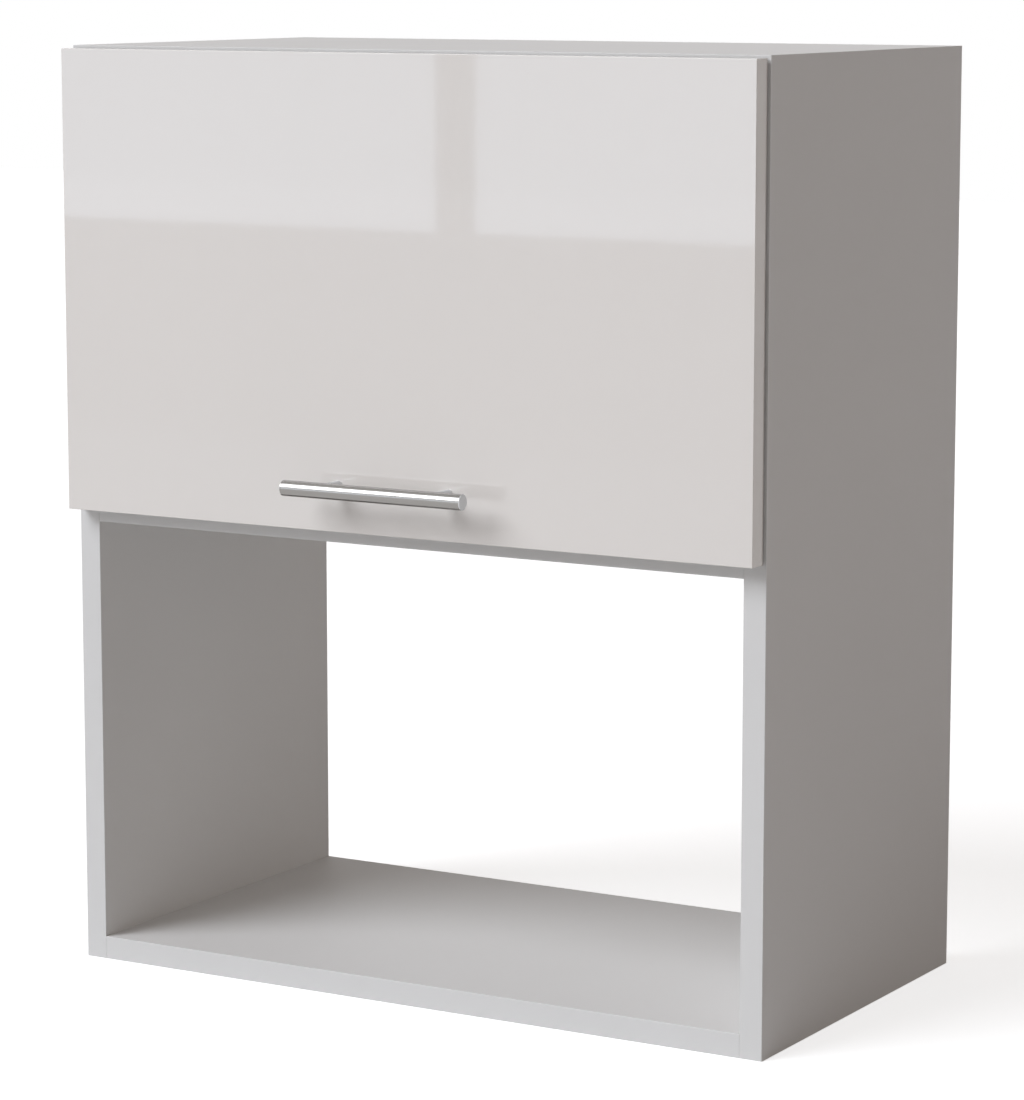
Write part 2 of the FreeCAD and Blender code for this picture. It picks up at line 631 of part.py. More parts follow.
def hanger_hook(side, hand):
    """A steel hook with a threaded lug round the height screw."""
    name = f"hanger_hook_{side}"
    body = new_body(name + "_plate")
    x = across(hand, HOOK_IN, f"{INSIDE} - hook_inset")
    low, high = about(HOOK_Z, "hook_height")
    start = f"{SPINDLE_Y} - nut_depth / 2"
    tip = f"{BACK} - hook_clear"
    pad(body, outline(sketch(body, name + "_profile", "YZ_Plane", x[0]), [
        (start, low), (f"{tip} - hook_lip", low), (f"{tip} - hook_lip", f"{low} - hook_drop"),
        (tip, f"{low} - hook_drop"), (tip, high), (start, high),
    ]), "hook_thickness")
    soften(body, "Fillet", "Radius", "hook_round", lambda edge: passes(edge, y=tip, z=high))
    lug = block(name + "_lug", across(hand, f"{HANGER_IN} + hanger_wall + play", HOOK_IN),
                about(SPINDLE_Y, "nut_depth"), about(HOOK_Z, "nut_height"))
    hole = bar(name + "_thread", "spindle_radius + play", "z", about(HOOK_Z, "nut_height"),
               (mirror(hand, SPINDLE_X), SPINDLE_Y))
    return node(name, carve(name, join(name + "_body", [body, lug]), [hole]))


def hanger_spindle(side, hand):
    """The height screw: head below the housing, collar above its floor."""
    name = f"hanger_spindle_{side}"
    centre = (mirror(hand, SPINDLE_X), SPINDLE_Y)
    head = (f"{HANGER_BASE} - play - spindle_head", f"{HANGER_BASE} - play")
    floor = f"{HANGER_BASE} + hanger_wall + play"
    shaft = (f"{HANGER_BASE} - play", f"{HANGER_TOP} - hanger_wall - play")
    blank = join(name + "_body", [
        bar(name + "_head", "spindle_head_radius", "z", head, centre),
        bar(name + "_collar", "collar_radius", "z", (floor, f"{floor} + collar"), centre),
        bar(name + "_shaft", "spindle_radius", "z", shaft, centre),
    ])
    slot = block(name + "_slot", about(centre[0], "2 * spindle_head_radius"),
                 about(centre[1], "spindle_slot"), (head[0], f"{head[0]} + spindle_head / 2"))
    return node(name, carve(name, blank, [slot]))


# Flap hinges

def hinge_plate(side, hand):
    """A plate on the top panel with a raised rail that the arm clips over."""
    name = f"hinge_plate_{side}"
    body = new_body(name + "_base")
    x = hinge_x(hand)
    y = about(PLATE_Y, "plate_length")
    rounded_plate(body, name + "_outline", "XY_Plane", f"{CEILING} - plate_thickness",
                  about(x, "plate_width"), y, "plate_thickness", "plate_corner")
    rail_z = (f"{ARM_Z} + arm_thickness / 2", f"{CEILING} - plate_thickness")
    rail = block(name + "_rail", about(x, "channel_width - 2 * channel_wall - 2 * fit"), y, rail_z)
    holes = screw_holes(name + "_hole", hinge_plate_screws(hand))
    holes.append(bar(name + "_tap", "arm_screw_radius + fit", "z", rail_z, (x, PLATE_Y)))
    return node(name, carve(name, join(name + "_body", [body, rail]), holes))


def hinge_arm(side, hand):
    """A goose neck from the pin down and back, widening to a channel over the plate's rail."""
    name = f"hinge_arm_{side}"
    body = new_body(name)
    x = hinge_x(hand)
    half = "arm_thickness / 2"
    end = f"{FRONT} + channel_start + channel_length"
    low, high = f"{ARM_Z} - {half}", f"{ARM_Z} + {half}"
    front, rear = f"{PIVOT_Y} - {half}", f"{PIVOT_Y} + {half}"
    neck = outline(sketch(body, name + "_neck", "YZ_Plane", x), [
        (front, PIVOT_Z), (front, low), (end, low), (end, high), (rear, high), (rear, PIVOT_Z),
    ])
    pad(body, neck, "neck_width", both=True)
    soften(body, "Fillet", "Radius", "arm_bend + arm_thickness",
           lambda edge: passes(edge, y=front, z=low))
    soften(body, "Fillet", "Radius", "arm_bend", lambda edge: passes(edge, y=rear, z=high))
    pad(body, circle(sketch(body, name + "_eye", "YZ_Plane", x), PIVOT_Y, PIVOT_Z, "eye_radius"),
        "neck_width", both=True)
    left, right = about(x, "channel_width")
    inner_left, inner_right = about(x, "channel_width - 2 * channel_wall")
    rim = f"{high} + channel_height"
    channel = sketch(body, name + "_channel", "XZ_Plane", f"-({FRONT} + channel_start)")
    outline(channel, [
        (left, low), (right, low), (right, rim), (inner_right, rim),
        (inner_right, high), (inner_left, high), (inner_left, rim), (left, rim),
    ])
    pad(body, channel, "channel_length", reverse=True)
    bore = sketch(body, name + "_bore", "YZ_Plane", x)
    pocket(body, circle(bore, PIVOT_Y, PIVOT_Z, "pin_radius + play / 2"), "2 * neck_width", both=True)
    hole = circle(sketch(body, name + "_hole", "XY_Plane", ARM_Z), x, PLATE_Y, "arm_screw_radius + fit")
    pocket(body, hole, "2 * arm_thickness", both=True)
    return node(name, body)


def hinge_cup(side, hand):
    """A cup let into the flap: dish, flange with two wings, ears for the pin, slot for the arm."""
    name = f"hinge_cup_{side}"
    body = new_body(name)
    x = hinge_x(hand)
    face = f"-({DOOR_BACK})"
    outer = f"-({DOOR_BACK} + flange)"
    through = f"{CUP_DEPTH} + flange"
    wing_z = about(f"({CUP_Z} - wing_drop)", "wing_height")
    rounded_plate(body, name + "_wings", "XZ_Plane", outer, about(x, "wing_width"), wing_z,
                  "flange", "wing_corner")
    pad(body, circle(sketch(body, name + "_drum", "XZ_Plane", outer), x, CUP_Z, "cup_radius"), through)
    dish = sketch(body, name + "_dish", "XZ_Plane", f"{face} + {CUP_DEPTH} - cup_wall")
    pocket(body, circle(dish, x, CUP_Z, "cup_radius - cup_wall"), through)
    reach = f"({SLOT} / 2 + cheek)"
    crown = f"{CUP_Z} + sqrt(pow(cup_radius; 2) - pow({reach}; 2)) - fit"
    foot = f"{PIVOT_Z} - 2 * eye_radius"
    ears = sketch(body, name + "_ears", "XZ_Plane", f"{face} + cup_wall")
    rectangle(ears, about(x, f"2 * {reach}"), (foot, crown))
    pad(body, ears, f"{CUP_DEPTH} - 2 * cup_wall")
    gate = sketch(body, name + "_gate", "XZ_Plane", f"{face} + {CUP_DEPTH} + play")
    gate_low = f"{ARM_Z} - arm_thickness / 2 - 2 * play - cup_wall"
    pocket(body, rectangle(gate, about(x, SLOT), (gate_low, DOOR_TOP)), f"{through} + 2 * play")
    pin = circle(sketch(body, name + "_pin", "YZ_Plane", x), PIVOT_Y, PIVOT_Z, "pin_radius + fit")
    pocket(body, pin, f"2 * {reach} + 2 * play", both=True)
    holes = sketch(body, name + "_holes", "XZ_Plane", face)
    for place in hinge_cup_screws(hand):
        circle(holes, *place[-1], "screw_radius + fit")
    pocket(body, holes, "2 * flange")
    return node(name, body)


def hinge_pin(side, hand):
    """The steel pin between the cup's ears."""
    name = f"hinge_pin_{side}"
    span = about(hinge_x(hand), f"{SLOT} + 2 * cheek")
    return node(name, bar(name, "pin_radius", "x", span, (PIVOT_Y, PIVOT_Z)))


def hinge_arm_screw(side, hand):
    """The screw that clamps the arm to the plate's rail."""
    name = f"hinge_arm_screw_{side}"
    centre = (hinge_x(hand), PLATE_Y)
    under = f"{ARM_Z} - arm_thickness / 2"
    return join(name, [
        bar(name + "_head", "arm_screw_head", "z", (f"{under} - screw_head", under), centre),
        bar(name + "_shank", "arm_screw_radius", "z", (under, f"{CEILING} - plate_thickness"), centre),
    ])


# Gas struts, drawn along their own axis and turned into place

def lay_along(piece, hand, y, z, angle):
    """Put the strut piece's origin on a ball and its z axis along the strut."""
    piece.Placement = FreeCAD.Placement(Vector(), Rotation(Vector(1, 0, 0), 1))
    for axis, formula in (("x", mirror(hand, STRUT_X)), ("y", y), ("z", z)):
        tie(piece, f"Placement.Base.{axis}", formula)
    tie(piece, "Placement.Rotation.Angle", angle)


def turned(name, points):
    """A body of revolution about its own z axis, from (radius, height) points."""
    body = new_body(name)
    profile = outline(sketch(body, name + "_profile", "XZ_Plane"), points)
    feature = body.newObject("PartDesign::Revolution", name + "_turn")
    feature.Profile = profile
    feature.ReferenceAxis = (profile, ["V_Axis"])
    feature.Angle = 360
    return body


def strut_cylinder(side, hand):
    """The pressure tube: closed end with a threaded stub, rod guide in the mouth."""
    mouth = f"({STRUT_LENGTH} - socket_reach - rod_showing)"
    crimp = "tube_wall"
    name = f"strut_cylinder_{side}"
    body = turned(name, [
        ("0", "socket_reach / 2"), ("stub_radius", "socket_reach / 2"), ("stub_radius", "socket_reach"),
        (f"tube_radius - {crimp}", "socket_reach"), ("tube_radius", f"socket_reach + {crimp}"),
        ("tube_radius", f"{mouth} - {crimp}"), (f"tube_radius - {crimp}", mouth),
        ("rod_radius + play", mouth), ("rod_radius + play", f"{mouth} - gland"),
        ("tube_radius - tube_wall", f"{mouth} - gland"),
        ("tube_radius - tube_wall", "socket_reach + tube_floor"), ("0", "socket_reach + tube_floor"),
    ])
    lay_along(body, hand, BASE_Y, BASE_Z, "90 - strut_lean")
    return node(name, body)


def strut_rod(side, hand):
    """The rod with its piston inside the tube and a threaded stub outside."""
    name = f"strut_rod_{side}"
    heel = "(socket_reach + 2 * tube_floor)"
    shoulder = f"({STRUT_LENGTH} - socket_reach)"
    tip = f"({STRUT_LENGTH} - socket_reach / 2)"
    piston_radius = "tube_radius - tube_wall - play"
    body = turned(name, [
        ("0", heel), (piston_radius, heel), (piston_radius, f"{heel} + piston"),
        ("rod_radius", f"{heel} + piston"), ("rod_radius", shoulder),
        ("stub_radius", shoulder), ("stub_radius", tip), ("0", tip),
    ])
    lay_along(body, hand, BASE_Y, BASE_Z, "90 - strut_lean")
    return node(name, body)


def strut_socket(name, hand, y, z, angle):
    """A socket that snaps over a ball stud from the inboard side."""
    body = new_body(name)
    drum = circle(sketch(body, name + "_drum", "YZ_Plane"), "0", "0", "socket_radius")
    pad(body, drum, "socket_width", both=True)
    neck = circle(sketch(body, name + "_neck", "XY_Plane"), "0", "0", "socket_neck")
    pad(body, neck, "socket_reach - fit")
    seat_start = mirror(hand, "-(ball_radius + play)")
    seat = circle(sketch(body, name + "_seat", "YZ_Plane", seat_start), "0", "0", "ball_radius + play")
    pocket(body, seat, "2 * socket_width", reverse=hand > 0)
    bore = sketch(body, name + "_bore", "XY_Plane", "socket_reach")
    pocket(body, circle(bore, "0", "0", "stub_radius + fit"), "socket_reach / 2 + fit")
    lay_along(body, hand, y, z, angle)
    return node(name, body)


def ball_stud(name, hand, seat, y, z):
    """A ball on a neck and flange; the flange sits on the bracket outboard of the strut."""
    ball = doc.addObject("Part::Sphere", name + "_ball")
    ball.Placement = FreeCAD.Placement(Vector(), TURNS["x"])
    tie(ball, "Radius", "ball_radius")
    for axis, formula in (("x", mirror(hand, STRUT_X)), ("y", y), ("z", z)):
        tie(ball, f"Placement.Base.{axis}", formula)
    flange = across(hand, f"{seat} - stud_flange", seat)
    neck = across(hand, STRUT_X, seat)
    return node(name, join(name, [
        ball,
        bar(name + "_neck", "stud_neck", "x", neck, (y, z)),
        bar(name + "_flange", "ball_radius", "x", flange, (y, z)),
    ]))


def strut_side_bracket(side, hand):
    """A plate on the side panel that carries the lower ball stud."""
    name = f"strut_side_bracket_{side}"
    body = new_body(name)
    start = across(hand, f"{INSIDE} - plate_thickness", INSIDE)[0]
    rounded_plate(body, name + "_outline", "YZ_Plane", start, about(BASE_Y, "bracket_width"),
                  about(BASE_Z, "bracket_height"), "plate_thickness", "plate_corner")
    holes = sketch(body, name + "_holes", "YZ_Plane", start)
    for place in side_bracket_screws(hand):
        circle(holes, *place[-1], "screw_radius + fit")
    pocket(body, holes, "plate_thickness", reverse=True)
    return node(name, body)


def strut_door_bracket(side, hand):
    """An angle on the flap's back: plate with two screws, ear outboard of the strut."""
    name = f"strut_door_bracket_{side}"
    body = new_body(name + "_plate")
    x = across(hand, f"{EAR_OUT} - door_plate_width", EAR_OUT)
    height = about(STUD_Z, "door_plate_height")
    rounded_plate(body, name + "_outline", "XZ_Plane", f"-({DOOR_BACK} + plate_thickness)", x, height,
                  "plate_thickness", "plate_corner")
    ear = new_body(name + "_ear")
    y = (DOOR_BACK, f"{STUD_Y} + ear_margin")
    ear_start = across(hand, EAR_IN, EAR_OUT)[0]
    ear_height = "(2 * ear_margin + 2 * plate_corner)"
    ear_outline = sketch(ear, name + "_ear_outline", "YZ_Plane", ear_start)
    pad(ear, rectangle(ear_outline, y, about(STUD_Z, ear_height)), "plate_thickness")
    soften(ear, "Fillet", "Radius", "plate_corner",
           lambda edge: runs_along(edge, "x") and edge.CenterOfMass.y > number(STUD_Y))
    holes = screw_holes(name + "_hole", door_bracket_screws(hand))
    return node(name, carve(name, join(name + "_body", [body, ear]), holes))


# Flap

def flap_blank(name, skin):
    """The flap's outline with rounded front edges, inside a skin of the given thickness."""
    body = new_body(name)
    x = (f"-({DOOR_SIDE} - {skin})", f"{DOOR_SIDE} - {skin}")
    z = (f"{DOOR_BASE} + {skin}", f"{DOOR_TOP} - {skin}")
    pad(body, rectangle(sketch(body, name + "_outline", "XZ_Plane", f"-({DOOR_BACK})"), x, z),
        f"door_thickness - {skin}")
    front = number(f"{DOOR_FRONT} + {skin}")
    soften(body, "Fillet", "Radius", f"door_round - {skin}",
           lambda edge: abs(edge.CenterOfMass.y - front) < 1e-4)
    return body


def handle_x(hand):
    return mirror(hand, "handle_pitch / 2")


def handle_holes(name):
    """Clearance holes for the handle screws right through the flap."""
    return [bar(f"{name}_handle_{side}", "screw_radius + play", "y", (DOOR_FRONT, DOOR_BACK),
                (handle_x(hand), BAR_Z)) for side, hand in HANDS]


def flap():
    """Core board with its bores, and the gloss film over its front and edges."""
    bores = handle_holes("door_core")
    for side, hand in HANDS:
        cup = (f"{DOOR_BACK} - {CUP_DEPTH} - fit", DOOR_BACK)
        bores.append(bar(f"door_core_cup_{side}", "cup_radius + fit", "y", cup, (hinge_x(hand), CUP_Z)))
        places = hinge_cup_screws(hand) + door_bracket_screws(hand)
        bores += screw_holes(f"door_core_pilot_{side}", places)
    core = flap_blank("door_blank", "film")
    node("door_core", carve("door_core", core, bores))
    shell = carve("door_shell", flap_blank("door_outline", "0"), [core])
    node("door_film", carve("door_film", shell, handle_holes("door_film")))


def handle():
    """A round bar on two posts, each held by a screw from inside the compartment."""
    body = new_body("handle_bar")
    pad(body, circle(sketch(body, "handle_bar_section", "YZ_Plane"), BAR_Y, BAR_Z, "handle_radius"),
        "handle_length", both=True)
    soften(body, "Chamfer", "Size", "handle_chamfer", lambda edge: isinstance(edge.Curve, Part.Circle))
    node("handle_bar", body)
    screws = []
    for side, hand in HANDS:
        name = f"handle_post_{side}"
        centre = (handle_x(hand), BAR_Z)
        cope = about(handle_x(hand), "4 * post_radius")
        tap = (f"{DOOR_FRONT} - handle_thread - fit", DOOR_FRONT)
        blank = bar(name + "_blank", "post_radius", "y", (BAR_Y, DOOR_FRONT), centre)
        node(name, carve(name, blank, [
            bar(name + "_cope", "handle_radius + fit", "x", cope, (BAR_Y, BAR_Z)),
            bar(name + "_tap", "screw_radius + fit", "y", tap, centre),
        ]))
        shank = (f"{DOOR_FRONT} - handle_thread", DOOR_BACK)
        head = (DOOR_BACK, f"{DOOR_BACK} + screw_head")
        screws.append(join(f"handle_screw_{side}", [
            bar(f"handle_screw_{side}_shank", "screw_radius", "y", shank, centre),
            bar(f"handle_screw_{side}_head", "screw_head_radius", "y", head, centre),
        ]))
    group("handle_screws", screws)


def door_bumpers():
    """Soft pads on the flap's back that meet the side panels' front edges."""
    group("door_bumpers", [
        bar(f"bumper_{side}", "bumper_radius", "y", (DOOR_BACK, f"{FRONT} - play"),
            (mirror(hand, f"{INSIDE} + board / 2"), f"{DOOR_BASE} + bumper_drop"))
        for side, hand in HANDS
    ])


# Assembly

for panel in LEVELS:
    cross_panel(panel)
back_panel()
edge_bands()
knock_down_fittings()
flap()
handle()
door_bumpers()
screw_groups = {
    "hanger_screws": hanger_screws,
    "hinge_plate_screws": hinge_plate_screws,
    "hinge_cup_screws": hinge_cup_screws,
    "strut_side_screws": side_bracket_screws,
    "strut_door_screws": door_bracket_screws,
}
for side, hand in HANDS:
    side_panel(side, hand)
    hanger_housing(side, hand)
    hanger_hook(side, hand)
    hanger_spindle(side, hand)
    hinge_plate(side, hand)
    hinge_arm(side, hand)
    hinge_cup(side, hand)
    hinge_pin(side, hand)
    strut_cylinder(side, hand)
    strut_rod(side, hand)
    strut_socket(f"strut_base_socket_{side}", hand, BASE_Y, BASE_Z, "90 - strut_lean")
    strut_socket(f"strut_rod_socket_{side}", hand, STUD_Y, STUD_Z, "270 - strut_lean")
    ball_stud(f"strut_base_stud_{side}", hand, f"({INSIDE} - plate_thickness)", BASE_Y, BASE_Z)
    ball_stud(f"strut_rod_stud_{side}", hand, f"({EAR_IN} - play)", STUD_Y, STUD_Z)
    strut_side_bracket(side, hand)
    strut_door_bracket(side, hand)
for name, places in screw_groups.items():
    group(name, [wood_screw(f"{name}_{side}_{index}", *place)
                 for side, hand in HANDS for index, place in enumerate(places(hand))])
group("hinge_arm_screws", [hinge_arm_screw(side, hand) for side, hand in HANDS])

# Test every object, then write each piece

doc.recompute()
for item in doc.Objects:
    if "Invalid" in item.State or "Error" in item.State:
        raise ValueError(f"{item.Name} failed: {item.State}")
os.makedirs("parts", exist_ok=True)
for piece in nodes:
    if piece.Shape.isNull() or not piece.Shape.isValid():
        raise ValueError(f"{piece.Label} has no valid shape")
for piece in nodes:
    piece.Shape.exportStep(f"parts/{piece.Label}.step")
print(len(nodes), "nodes written")
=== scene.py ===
# %% [markdown]
# # A wall-hung microwave cabinet
# The cabinet is a flat-pack carcass of white melamine-faced chipboard. An open
# niche below takes a microwave oven, and a gloss flap closes the compartment above.
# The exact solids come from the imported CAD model, which this script loads as a fixed
# frame. The lesson adds what the eye looks for: the finish of every surface, and
# finer meshes for pieces whose roundness or small detail shows.

# %% Load the frame
import json
import math

import bmesh
import bpy
import numpy as np
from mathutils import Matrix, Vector


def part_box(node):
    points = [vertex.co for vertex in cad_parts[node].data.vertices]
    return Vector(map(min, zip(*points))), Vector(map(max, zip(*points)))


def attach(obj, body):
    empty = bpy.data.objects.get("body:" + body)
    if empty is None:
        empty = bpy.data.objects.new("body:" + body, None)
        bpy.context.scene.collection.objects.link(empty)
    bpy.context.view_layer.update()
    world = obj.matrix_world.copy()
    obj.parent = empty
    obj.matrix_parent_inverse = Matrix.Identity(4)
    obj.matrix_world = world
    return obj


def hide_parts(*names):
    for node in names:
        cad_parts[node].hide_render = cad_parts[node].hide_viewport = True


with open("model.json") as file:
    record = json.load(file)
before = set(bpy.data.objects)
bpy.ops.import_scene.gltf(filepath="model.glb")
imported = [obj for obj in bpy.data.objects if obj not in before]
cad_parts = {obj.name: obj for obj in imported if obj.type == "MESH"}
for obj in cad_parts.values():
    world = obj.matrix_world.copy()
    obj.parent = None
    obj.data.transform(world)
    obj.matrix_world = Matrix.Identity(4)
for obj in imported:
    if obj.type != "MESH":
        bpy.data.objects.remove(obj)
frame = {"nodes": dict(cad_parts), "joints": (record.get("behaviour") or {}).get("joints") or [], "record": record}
nodes = frame["nodes"]
record = frame["record"]
joints = {joint["name"]: joint for joint in frame["joints"]}
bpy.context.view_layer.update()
MM = 0.001
HANDS = {"left": -1, "right": 1}    # which way along x each side lies

# %% [markdown]
# ## Colours and nodes
# Colours are easiest to read as the hex codes of a paint chart, but a renderer adds
# light, so it needs linear values. One function converts them. A second small
# function adds a shader node, sets its properties and connects its inputs, so that
# each material below reads like a list of what is on the surface. Some nodes have
# several sockets of one name and use one of them at a time, so a socket is looked up
# among those in use. Patterns are given their real size in millimetres, because a
# texture's scale counts repeats per metre.

# %% Colour and node helpers
def linear(code):
    """sRGB hex to linear RGBA: c becomes ((c + 0.055) / 1.055) ** 2.4, or c / 12.92 near black."""
    srgb = np.array([int(code[place:place + 2], 16) for place in (1, 3, 5)]) / 255
    light = np.where(srgb > 0.04045, ((srgb + 0.055) / 1.055) ** 2.4, srgb / 12.92)
    return (*light.tolist(), 1.0)


def in_use(sockets, name=None):
    """The first socket that a node's settings leave in use, of any name or of the given one."""
    return next(socket for socket in sockets if socket.enabled and name in (None, socket.name))


def connect(tree, node, inputs):
    """Sets each input to a value, or links it to a socket or to the first output of a node."""
    for name, value in inputs.items():
        entry = node.inputs[name] if isinstance(name, int) else in_use(node.inputs, name)
        source = in_use(value.outputs) if isinstance(value, bpy.types.Node) else value
        if isinstance(source, bpy.types.NodeSocket):
            tree.links.new(source, entry)
        else:
            entry.default_value = source


def add(tree, kind, inputs=None, **settings):
    """Adds a node, sets its properties and connects its inputs, given by name or by number."""
    node = tree.nodes.new("ShaderNode" + kind)
    for setting, value in settings.items():
        setattr(node, setting, value)
    connect(tree, node, inputs or {})
    return node


def surface(name, sockets):
    """A material with one Principled shader, its plain sockets set; also its tree and the shader."""
    material = bpy.data.materials.new(name)
    material.use_nodes = True
    shader = material.node_tree.nodes["Principled BSDF"]
    connect(material.node_tree, shader, sockets)
    return material, material.node_tree, shader


def repeats(size_mm):
    """A texture's scale, in repeats per metre, for a pattern of this size."""
    return 1 / (size_mm * MM)


WHITE = linear("#FFFFFF")
print("white #FFFFFF is", WHITE, "and mid grey #808080 is", linear("#808080"))

# %% [markdown]
# ## Melamine-faced chipboard
# The panels are pressed wood chips between two papers soaked in melamine resin. A
# steel plate embosses the hot resin with a fine pearl grain, so the face is white,
# satin and never quite flat. The back edges, bores and grooves are cut after the
# pressing and show the chips. A painted texture could hold both, but the cut stays
# exact if the material asks where a point is: on a face plane it is resin, and
# anywhere else it is raw board.

# %% Melamine-faced chipboard
RESIN_IOR = 1.5
RESIN_SHINE = 0.3       # resin over paper shines less than the shader's usual 0.5
RESIN_ROUGHNESS, CUT_ROUGHNESS = 0.52, 0.85
PEARL_MM = 1.6          # the real grain is 0.4 mm, drawn coarser so that it shows
PEARL_SHEEN = 0.12      # how much rougher its peaks are than its hollows
RESIN_CLOUD_MM = 180
CHIP_MM = 2.4
CHIP_FLATNESS = 2.5     # chips lie flat in the board, so they are thinner through it
CHIP_RAGGED = 2.0 * MM  # how far their outlines wander
TEAR_MM = 1.2           # over what length they wander
DUST_MM = 0.9
FACE_TOLERANCE = 0.15 * MM
ACROSS, UPWARDS = 0, 2  # axis numbers of the frame


def melamine_faced(name, faces):
    """Resin on the given planes, each an axis number and a place in metres; chips elsewhere.

    The first plane is a broad face, so its axis runs through the board."""
    material, tree, shader = surface(name, {"IOR": RESIN_IOR, "Specular IOR Level": RESIN_SHINE})
    place = add(tree, "TexCoord").outputs["Object"]
    axes = add(tree, "SeparateXYZ", {"Vector": place}).outputs
    resin = 0.0
    for axis, plane in faces:
        near = add(tree, "Math", {0: axes[axis], 1: plane, 2: FACE_TOLERANCE}, operation="COMPARE")
        resin = add(tree, "Math", {0: near, 1: resin}, operation="MAXIMUM")
    cloud = add(tree, "TexNoise", {"Vector": place, "Scale": repeats(RESIN_CLOUD_MM), "Detail": 2.0})
    white = add(tree, "Mix", {"Factor": cloud, "A": linear("#DBDAD8"), "B": linear("#DFDEDC")},
                data_type="RGBA")
    pressed = np.where(np.arange(3) == faces[0][0], CHIP_FLATNESS, 1.0)
    flat = add(tree, "Mapping", {"Vector": place, "Scale": pressed})
    torn = add(tree, "TexNoise", {"Vector": place, "Scale": repeats(TEAR_MM), "Detail": 2.0})
    torn = add(tree, "VectorMath", {0: torn.outputs["Color"], 1: [CHIP_RAGGED] * 3, 2: flat},
               operation="MULTIPLY_ADD")
    chips = add(tree, "TexVoronoi", {"Vector": torn, "Scale": repeats(CHIP_MM), "Randomness": 1.0})
    tone = add(tree, "SeparateColor", {"Color": chips.outputs["Color"]})
    wood = add(tree, "Mix", {"Factor": tone, "A": linear("#AE8C64"), "B": linear("#E2C7A2")},
               data_type="RGBA")
    dust = add(tree, "TexNoise", {"Vector": place, "Scale": repeats(DUST_MM), "Detail": 4.0})
    board = add(tree, "Mix", {"Factor": dust, "A": wood, "B": linear("#CDB08A")}, data_type="RGBA")
    colour = add(tree, "Mix", {"Factor": resin, "A": board, "B": white}, data_type="RGBA")
    pearl = add(tree, "TexNoise", {"Vector": place, "Scale": repeats(PEARL_MM), "Detail": 3.0})
    rough = add(tree, "MapRange", {"Value": resin, "To Min": CUT_ROUGHNESS, "To Max": RESIN_ROUGHNESS})
    rough = add(tree, "Math", {0: pearl, 1: PEARL_SHEEN, 2: rough}, operation="MULTIPLY_ADD")
    height = add(tree, "Mix", {"Factor": resin, "A": chips, "B": pearl}, data_type="FLOAT")
    bump = add(tree, "Bump", {"Height": height, "Strength": 0.25, "Distance": 0.05 * MM})
    connect(tree, shader, {"Base Color": colour, "Roughness": rough, "Normal": bump})
    return material


def face_planes(node, axis):
    """The two planes of a node's box across one axis."""
    return [(axis, corner[axis]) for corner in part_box(node)]


panel_finish = {}
for side in HANDS:
    name = f"side_panel_{side}"
    panel_finish[name] = melamine_faced("melamine_" + name,
                                        face_planes(name, ACROSS) + face_planes(name, UPWARDS))
for name in ("top_panel", "middle_shelf", "bottom_panel"):
    panel_finish[name] = melamine_faced("melamine_" + name, face_planes(name, UPWARDS))
print("melamine on", ", ".join(panel_finish))

# %% [markdown]
# ## Edge band, moulded plastics and rubber
# The front edges wear a strip of white ABS, glued on hot and trimmed. It is dyed
# right through and a little smoother than the board beside it. The hanger housings
# are moulded nylon with a spark-eroded texture, the strut sockets are black acetal,
# and the door bumpers are soft clear elastomer. All are plastics without pattern, so
# one recipe gives each its colour, its fine texture and a slight unevenness.

# %% Plastics
EVEN = (1, 1, 1)
PLASTIC_IOR = 1.53
SHEEN_DRIFT = 0.05      # how far the roughness wanders to either side


def plain_finish(name, dark, light, roughness, grain_mm, depth_mm, cloud_mm=40, stretch=EVEN, extra=()):
    """Two close tones in clouds and a fine texture, as on dyed plastic, lacquer or wood.

    A stretch along x, y and z draws both out into a grain. Extra sockets come as a dictionary."""
    material, tree, shader = surface(name, {"IOR": PLASTIC_IOR, **dict(extra)})
    place = add(tree, "TexCoord").outputs["Object"]
    place = add(tree, "Mapping", {"Vector": place, "Scale": [1 / share for share in stretch]})
    cloud = add(tree, "TexNoise", {"Vector": place, "Scale": repeats(cloud_mm), "Detail": 2.0})
    grain = add(tree, "TexNoise", {"Vector": place, "Scale": repeats(grain_mm), "Detail": 2.0})
    colour = add(tree, "Mix", {"Factor": cloud, "A": linear(dark), "B": linear(light)}, data_type="RGBA")
    rough = add(tree, "MapRange", {"Value": grain, "To Min": roughness - SHEEN_DRIFT,
                                   "To Max": roughness + SHEEN_DRIFT})
    bump = add(tree, "Bump", {"Height": grain, "Strength": 0.3, "Distance": depth_mm * MM})
    connect(tree, shader, {"Base Color": colour, "Roughness": rough, "Normal": bump})
    return material


# Extruded ABS, trimmed after gluing: an even white with a soft sheen.
abs_band = plain_finish("abs_edge_band", "#DADAD8", "#DCDCDB", roughness=0.36, grain_mm=1.2,
                        depth_mm=0.02)
# Moulded nylon: milky white, and matt from the eroded mould.
nylon_housing = plain_finish("nylon_moulded_housing", "#DAD9D4", "#E0DFDB", roughness=0.5, grain_mm=0.8,
                             depth_mm=0.05)
# Moulded acetal: nearly black, with the waxy sheen of a slippery plastic.
acetal_socket = plain_finish("acetal_moulded_socket", "#17171A", "#222225", roughness=0.38, grain_mm=0.8,
                             depth_mm=0.04)
# Cast elastomer: half clear, so the buttons take the colour of what is behind them.
clear_elastomer = plain_finish("elastomer_bumper", "#D5D5D2", "#E2E2E0", roughness=0.3, grain_mm=2.0,
                               depth_mm=0.02, extra={"Transmission Weight": 0.5})
print("plastics:", abs_band.name, nylon_housing.name, acetal_socket.name, clear_elastomer.name)

